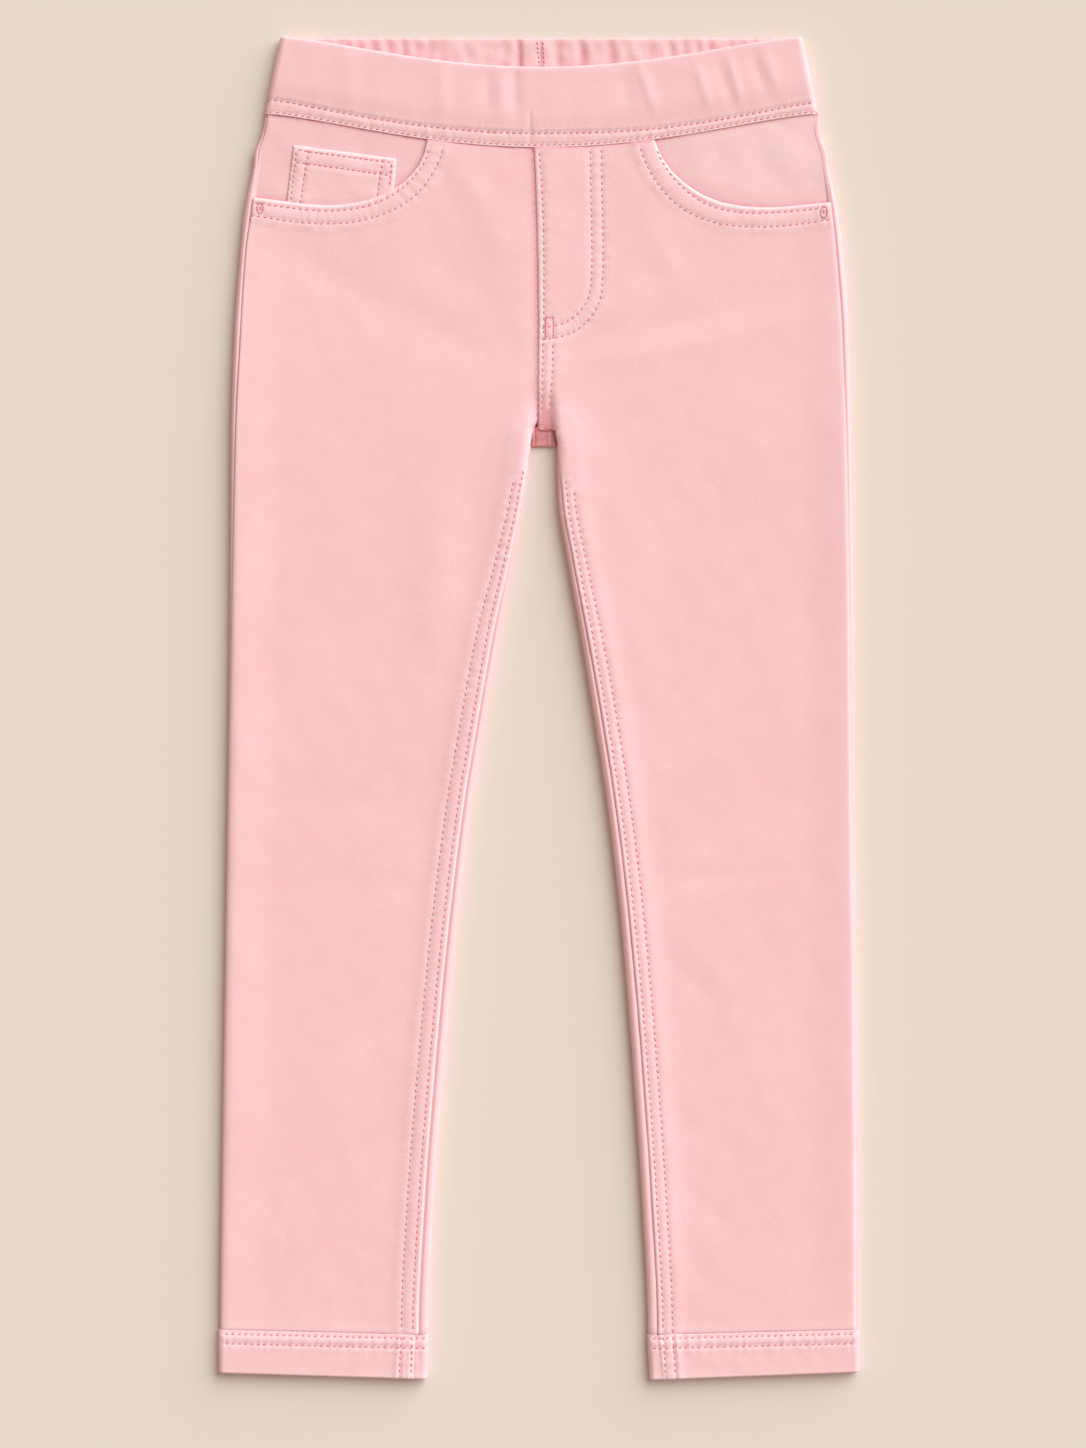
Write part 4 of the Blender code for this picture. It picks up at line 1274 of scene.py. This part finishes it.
def waistband(material):
    """One loop of doubled cloth over elastic; its front hangs lower than its back."""
    profile = section(BAND_WALL, BAND_FOOT_WALL, 40)
    half_foot = BAND_FOOT_WALL / 2
    columns = 900
    radius = BAND_THICKNESS / 2
    turns = np.arange(columns) / columns
    spots, cut = [], []
    for share, inset, bulge in profile:
        reach = BAND_TOP_REACH + (BAND_FOOT_REACH - BAND_TOP_REACH) * share
        x, z, nx, nz, s = ring_points(turns, radius, BAND_SHIFT - reach, BAND_SHIFT + reach)
        front_share = z / (2 * radius)
        hung = hang(np.clip((x - BAND_SHIFT) / reach, -1, 1)) * front_share
        top_drop = BAND_WALL / 2 + BAND_TOP_DIP * hung
        drop = top_drop * (1 - share) + (BAND_DEPTH - half_foot + BAND_FOOT_DIP * hung) * share
        spots.append(np.stack([x - nx * inset, drop + bulge, z - nz * inset], axis=1))
        cut.append(path_of(s - s.mean(), np.full(columns, -share * BAND_DEPTH - inset)))
    spots, cut = np.concatenate(spots), np.concatenate(cut)
    flat = spots[:, :2]
    upper = spots[:, 2] > radius
    outer = np.repeat([inset for _, inset, _ in profile], columns) < half_foot
    inner_back = ~upper & ~outer
    surface, thinner = band_surface(flat)
    gathers = band_gathers(flat)
    spots[:, 2] += (
        surface.height * (upper & outer)
        - thinner * upper
        + inner_back * gathers * ease(flat[:, 1] / 5.0) * ease((28 - flat[:, 1]) / 8)
    )
    gather_shade = np.where(inner_back, 0.35 * np.clip(-gathers, 0, 1), 0.0)
    surface.painted_light *= upper
    surface.shade = surface.shade * (upper & outer) + gather_shade
    return ring_piece(
        "elastic_waistband", spots, cut, surface, columns, material, "waistband"
    )


def fix_normals(mesh):
    """Turn all faces of a closed mesh outwards."""
    solid = bmesh.new()
    solid.from_mesh(mesh)
    bmesh.ops.recalc_face_normals(solid, faces=solid.faces)
    solid.to_mesh(mesh)
    solid.free()


def hem_surface(leg, flat):
    """Rows, seam and inseam of a hem, with painted shade and painted highlight along its seam and
    the inseam's fold.
    """
    surface = Surface(flat)
    for number, row in enumerate(hem_rows(leg)):
        surface.stitched(row, depth=0.4, pucker=0.12, reach=4.0, seed=41 + number)
    reaches = np.arange(54.0, 170.0, 1.0)
    side, _ = near(flat, path_of(reaches, hem_top(leg, reaches)), 8)
    surface.height -= 0.7 * ease(1 - np.abs(side) / 3.5)
    # painted shade in the seam's groove and painted highlight just below it
    surface.shade += 0.15 * bell(side, 0.8)
    surface.painted_light += 0.4 * bell(side - 0.6, 1.0)
    surface.height += 0.06 * unevenness(flat, 12.0, 9)
    fold = hem_inseam(leg)[0]
    # painted highlight along the inseam's fold
    surface.edge(fold, lift=0.3, width=9.0, roll=0.5, light=0.9)
    side, _ = near(flat, fold, 8)
    # painted shade beside the fold
    surface.shade += 0.45 * bell(side + 0.4, 0.5)
    return surface


def hem(leg, material):
    """Turned-up hem, a flattened ring round the leg's end."""
    profile = section(HEM_TOP_WALL, HEM_FOOT_WALL, 24)
    columns = 480
    radius = HEM_THICKNESS / 2
    turns = np.arange(columns) / columns
    spots, cut = [], []
    for share, inset, _ in profile:
        inner_end = leg.hem_inner + (leg.hem_inner_foot - leg.hem_inner) * share
        left, right = sorted((leg.sign * inner_end, leg.sign * HEM_OUTER_REACH))
        x, z, nx, nz, s = ring_points(turns, radius, left, right)
        width = HEM_OUTER_REACH - inner_end
        across = np.clip((HEM_OUTER_REACH - np.abs(x)) / width, 0, 1)
        top = HEM_SEAM_DROP + HEM_SEAM_DIP * across
        foot = leg.hem_outer_drop + (leg.hem_inner_drop - leg.hem_outer_drop) * across
        drop = top + (foot - top) * share
        spots.append(np.stack([x - nx * inset, drop, z - nz * inset], axis=1))
        cut.append(path_of(s, -drop - inset))
    spots, cut = np.concatenate(spots), np.concatenate(cut)
    outer = np.repeat([inset for _, inset, _ in profile], columns) < HEM_TOP_WALL / 2
    upper = (spots[:, 2] > radius) & outer
    flat = path_of(np.abs(spots[:, 0]), spots[:, 1])
    surface = hem_surface(leg, flat)
    spots[:, 2] += surface.height * upper
    # painted highlight along the hem's bottom fold
    surface.painted_light = surface.painted_light * upper + 0.5 * bell(flat[:, 1] - 697.5, 2.2)
    surface.shade *= upper
    return ring_piece(
        leg.name + "_hem", spots, cut, surface, columns, material, "hem_" + leg.name
    )


def hem_inseam(leg):
    """The inseam's fold and its two rows of stitches where they cross the hem."""
    foot = leg.hem_inner_drop - 1.0
    rows = [[(x, hem_top(leg, x) + 0.8), (x + slip, foot)] for x, slip in leg.hem_crossing]
    return [np.array(row, float) for row in rows]


def hem_rows(leg):
    """Every row of stitches on a hem."""
    rows = hem_inseam(leg)[1:]
    reaches = np.arange(58.5, 165.5, 1.0)
    for below in HEM_ROWS:
        rows.append(path_of(reaches, hem_top(leg, reaches) + below))
    return rows


# ---------------------------------------------------------------- pockets


def pocket_ground(leg, cut):
    """How far the cloth inside a scoop lies below the front's level, with its slow waves."""
    points = cut * (leg.sign, 1.0)
    return 0.95 - 0.20 * unevenness(points, 26.0, 5) - 0.04 * unevenness(points, 9.0, 6)


def facing_outline(leg, scoop):
    """Cut of the cloth inside a scoop: past the scoop's edge, the side seam and the band's."""
    mouth = scoop - sideways(scoop) * FACING_MARGIN
    mouth = mouth[mouth[:, 0] < side_seam(leg, mouth[:, 1]) + 1.0]
    drops = np.arange(mouth[-1][1] - 1.5, 38.0, -1.5)
    side = path_of(side_seam(leg, drops) + 1.6, drops)
    reaches = np.arange(side[-1][0] - 1.5, mouth[0][0] + 1.0, -1.5)
    top = path_of(reaches, under_band(leg, reaches))
    side, mouth = [p[p[:, 1] > under_band(leg, p[:, 0])] for p in (side, mouth)]
    return np.concatenate([mouth, side, top]), seam_path(side_seam, leg, drops)


def facing(leg, material):
    """The cloth inside a scoop, with painted shade along its seams and the scoop's edge."""
    scoop = line(leg.scoop, 1.5, 2.0)
    outline, seam = facing_outline(leg, scoop)
    rows = [(scoop, 1.5, (0.0, -1.2, 1.2)), (seam, 1.5, (0.0, -1.0, 1.0))]
    rows.append((band_line(leg), 1.2, (0.0, *EDGE_SIDES)))
    cut, faces = triangulated(outline, rows, 1.9)
    surface = Surface(cut)
    q, drop = cut.T
    # painted shade under the waistband's edge
    surface.contact(band_line(leg) + (0, 0.3), depth=0.1, reach=1.8, dark=0.55)
    surface.height -= 0.35 * ease((band_foot(q * leg.sign) + 0.35 - drop) / 0.7)
    from_scoop, _ = near(cut, scoop, 60)
    # painted light: the wearer's left facing is lighter away from the scoop's edge
    if leg is LEFT:
        surface.painted_light += 0.3 * ease(from_scoop / 20.0)
    surface.height -= 0.2 * bell(from_scoop, 3.5)
    # painted shade under the scoop's edge
    surface.shade += 0.55 * bell(from_scoop, 1.2)
    from_seam, _ = near(cut, seam, 8)
    # painted shade along the side seam
    surface.shade += 0.6 * bell(from_seam, 0.7)
    radius = half_thickness(drop)
    start = outer_reach(leg, drop) - radius
    turn = np.clip((q - start) / radius, 0, pi)
    inset = pocket_ground(leg, cut) - surface.height
    inset += (0.35 - inset) * ease((q - start) / 3.0)
    reach = np.minimum(q, start) + (radius - inset) * np.sin(turn)
    height = radius + (radius - inset) * np.cos(turn)
    spots = spots_at(leg.sign * reach, drop, height)
    faces = facing_up(faces, cut, leg.sign)
    names = leg.name + "_pocket_facing", ["pocket_facing_" + leg.name], leg.name + "_back"
    return cloth_piece(names, spots, faces, cut * (leg.sign, -1), surface, material)


def coin_pocket(material):
    """The small pocket that is sewn onto the wearer's right facing."""
    closed = COIN_OUTLINE + COIN_OUTLINE[:1]
    rows = [(row, STITCH_PITCH / 4, None) for row in COIN_ROWS]
    cut, faces = triangulated(resample(np.array(closed, float), 1.0)[:-1], rows, 1.6)
    surface = Surface(cut)
    for number, row in enumerate(COIN_ROWS):
        surface.stitched(row, depth=0.3, pucker=0.06, reach=3.0, seed=51 + number)
    side, _ = near(cut, closed[::-1], 8)
    surface.height -= 0.35 * ease(1 - np.abs(side) / 1.2) ** 2
    # painted highlight along the pocket's edges
    surface.painted_light += 0.8 * bell(np.abs(side) - 0.7, 0.9)
    x, drop = cut.T
    on_leg = cut * (-1, 1)
    ground = 2 * half_thickness(drop) - pocket_ground(RIGHT, on_leg)
    mouth, _ = near(on_leg, line(SCOOP_RIGHT, 1.0, 2.0), 14)
    pressed = 0.4 * np.where(np.abs(mouth) < FAR, ease((2.5 - mouth) / 3.0), 0.0)
    spots = spots_at(x, drop, ground + COIN_CLOTH + 0.05 + surface.height - pressed)
    names = "small_coin_pocket", ["coin_pocket"], "right_pocket_facing"
    faces = facing_up(faces, cut)
    return cloth_piece(names, spots, faces, cut * (1, -1), surface, material, wall=COIN_CLOTH)


# ---------------------------------------------------------------- stitches


def stitch_shape(sides=6, rings=7, length=2.05, thickness=0.75):
    """One stitch: a short length of thread whose ends dive into the cloth."""
    spots, faces = [], []
    for i in range(rings):
        t = -1 + 2 * i / (rings - 1)
        r = thickness / 2 * (1 - 0.6 * t**4) ** 0.5
        sunk = -0.30 * t**4
        for k in range(sides):
            a = 2 * pi * k / sides
            spots.append((t * length / 2, r * np.cos(a), r * np.sin(a) * 0.8 + sunk))
    for i in range(rings - 1):
        for k in range(sides):
            j = (k + 1) % sides
            faces.append([i * sides + k, i * sides + j, (i + 1) * sides + j, (i + 1) * sides + k])
    faces.append(list(range(sides))[::-1])
    faces.append([(rings - 1) * sides + k for k in range(sides)])
    return np.array(spots), faces


def sewn(path, height_at, slant=0.3, pitch=STITCH_PITCH, size=1.0):
    """Places of the stitches along a path: centre, direction and height."""
    path = resample(np.array(path, float), 0.25)
    lengths = lengths_along(path)
    at = np.arange(pitch * 0.5, lengths[-1] - pitch * 0.3, pitch)
    x, drop = (np.interp(at, lengths, path[:, i]) for i in (0, 1))
    next_x, next_drop = (np.interp(at + 0.5, lengths, path[:, i]) for i in (0, 1))
    turn = np.arctan2(-(next_drop - drop), next_x - x) + slant
    return [(a, b, height_at(a, b), c, size) for a, b, c in zip(x, drop, turn)]


def height_reader(piece):
    """Height of a piece's upper side at (x, drop), read off the finished mesh."""
    graph = bpy.context.evaluated_depsgraph_get()
    shown = piece.evaluated_get(graph)

    def read(x, drop):
        start = Vector((x * MM, (LENGTH / 2 - drop) * MM, 0.05))
        hit, spot, _, _ = shown.ray_cast(start, Vector((0, 0, -1)))
        return spot.z / MM if hit else None

    return read


def stitches(name, places, material):
    """One piece with all the topstitching; each stitch lies a little differently."""
    shape, faces = stitch_shape()
    raised = 0.12
    wobble = np.random.default_rng(77)
    spots, all_faces = [], []
    for x, drop, z, turn, size in places:
        if z is None:
            continue
        turn = turn + wobble.uniform(-0.09, 0.09)
        scale = size * wobble.uniform(0.9, 1.08)
        c, s = np.cos(turn), np.sin(turn)
        along, across = shape[:, 0] * scale, shape[:, 1]
        spot_x = x + along * c - across * s
        spot_y = LENGTH / 2 - drop + along * s + across * c
        first = len(spots) * len(shape)
        spots.append(np.stack([spot_x, spot_y, z + raised + shape[:, 2]], axis=1))
        all_faces += [[first + v for v in f] for f in faces]
    mesh = bpy.data.meshes.new(name)
    mesh.from_pydata((np.concatenate(spots) * MM).tolist(), [], all_faces)
    return finish_piece(name, mesh, material)


# ---------------------------------------------------------------- light, floor and camera


def floor():
    """The pale table that the garment lies on."""
    bpy.ops.mesh.primitive_plane_add(size=4.0, location=(0, 0, -0.0002))
    plane = bpy.context.object
    plane.name = "floor"
    material, shader, _ = new_material("pale floor")
    shader.inputs["Base Color"].default_value = shaded(FLOOR)
    shader.inputs["Roughness"].default_value = 0.9
    shader.inputs["Specular IOR Level"].default_value = 0.1
    plane.data.materials.append(material)


def light():
    """A soft key light from the upper right, and warm light from all round."""
    world = bpy.data.worlds.new("studio")
    world.use_nodes = True
    back_light = world.node_tree.nodes["Background"]
    back_light.inputs["Color"].default_value = shaded(ROOM_LIGHT)
    back_light.inputs["Strength"].default_value = ROOM_STRENGTH
    bpy.context.scene.world = world
    lamp = bpy.data.lights.new("key", "SUN")
    lamp.energy = SUN_STRENGTH
    lamp.angle = SUN_ANGLE
    lamp.color = SUN
    key = bpy.data.objects.new("key", lamp)
    key.rotation_euler = Vector(SUN_FROM).to_track_quat("Z", "Y").to_euler()
    bpy.context.scene.collection.objects.link(key)
    bpy.context.scene.view_settings.view_transform = "Standard"
    bpy.context.scene.view_settings.look = "None"


def camera():
    """Straight above the garment, as in the photograph."""
    data = bpy.data.cameras.new("overhead")
    data.sensor_width = 36.0
    data.lens = 85.0
    data.clip_end = 20.0
    seen = bpy.data.objects.new("overhead", data)
    seen.location = CAMERA_SPOT
    bpy.context.scene.collection.objects.link(seen)
    bpy.context.scene.camera = seen


# ---------------------------------------------------------------- the scene

pink = cloth_material("pink twill")
# a copy of the pink darkened as painted shade, for the facings inside the scoops
shaded_pink = cloth_material("pink twill, painted shade", share=0.97)
thread = thread_material()

fronts = {leg.name: front(leg, pink) for leg in LEGS}
for each in LEGS:
    back(each, pink)
    facing(each, shaded_pink)
coin = coin_pocket(pink)
band = waistband(pink)
hems = {leg.name: hem(leg, pink) for leg in LEGS}
bpy.context.view_layer.update()

sewn_places = []
for each in LEGS:
    to_front = (each.sign, 1.0)
    on_front = height_reader(fronts[each.name])
    for path in front_rows(each):
        sewn_places += sewn(path * to_front, on_front)
    for path in tacks(each):
        sewn_places += sewn(path * to_front, on_front, slant=0.5, pitch=TACK_PITCH, size=0.55)
    on_hem = height_reader(hems[each.name])
    for path in hem_rows(each):
        sewn_places += sewn(path * to_front, on_hem)
on_coin = height_reader(coin)
for path in COIN_ROWS:
    sewn_places += sewn(path, on_coin, pitch=2.9)
on_band = height_reader(band)
sewn_places += sewn(sewing_line(BAND_ROW), on_band)
band_x = np.arange(-141.0, 143.5, 1.0)
sewn_places += sewn(path_of(band_x, band_foot(band_x) - BAND_EDGE_ROW), on_band)
for path in CENTRE_BACK_ROWS:
    sewn_places += sewn(path, on_band, pitch=2.4, size=0.8)
stitches("topstitching", sewn_places, thread)

floor()
light()
camera()
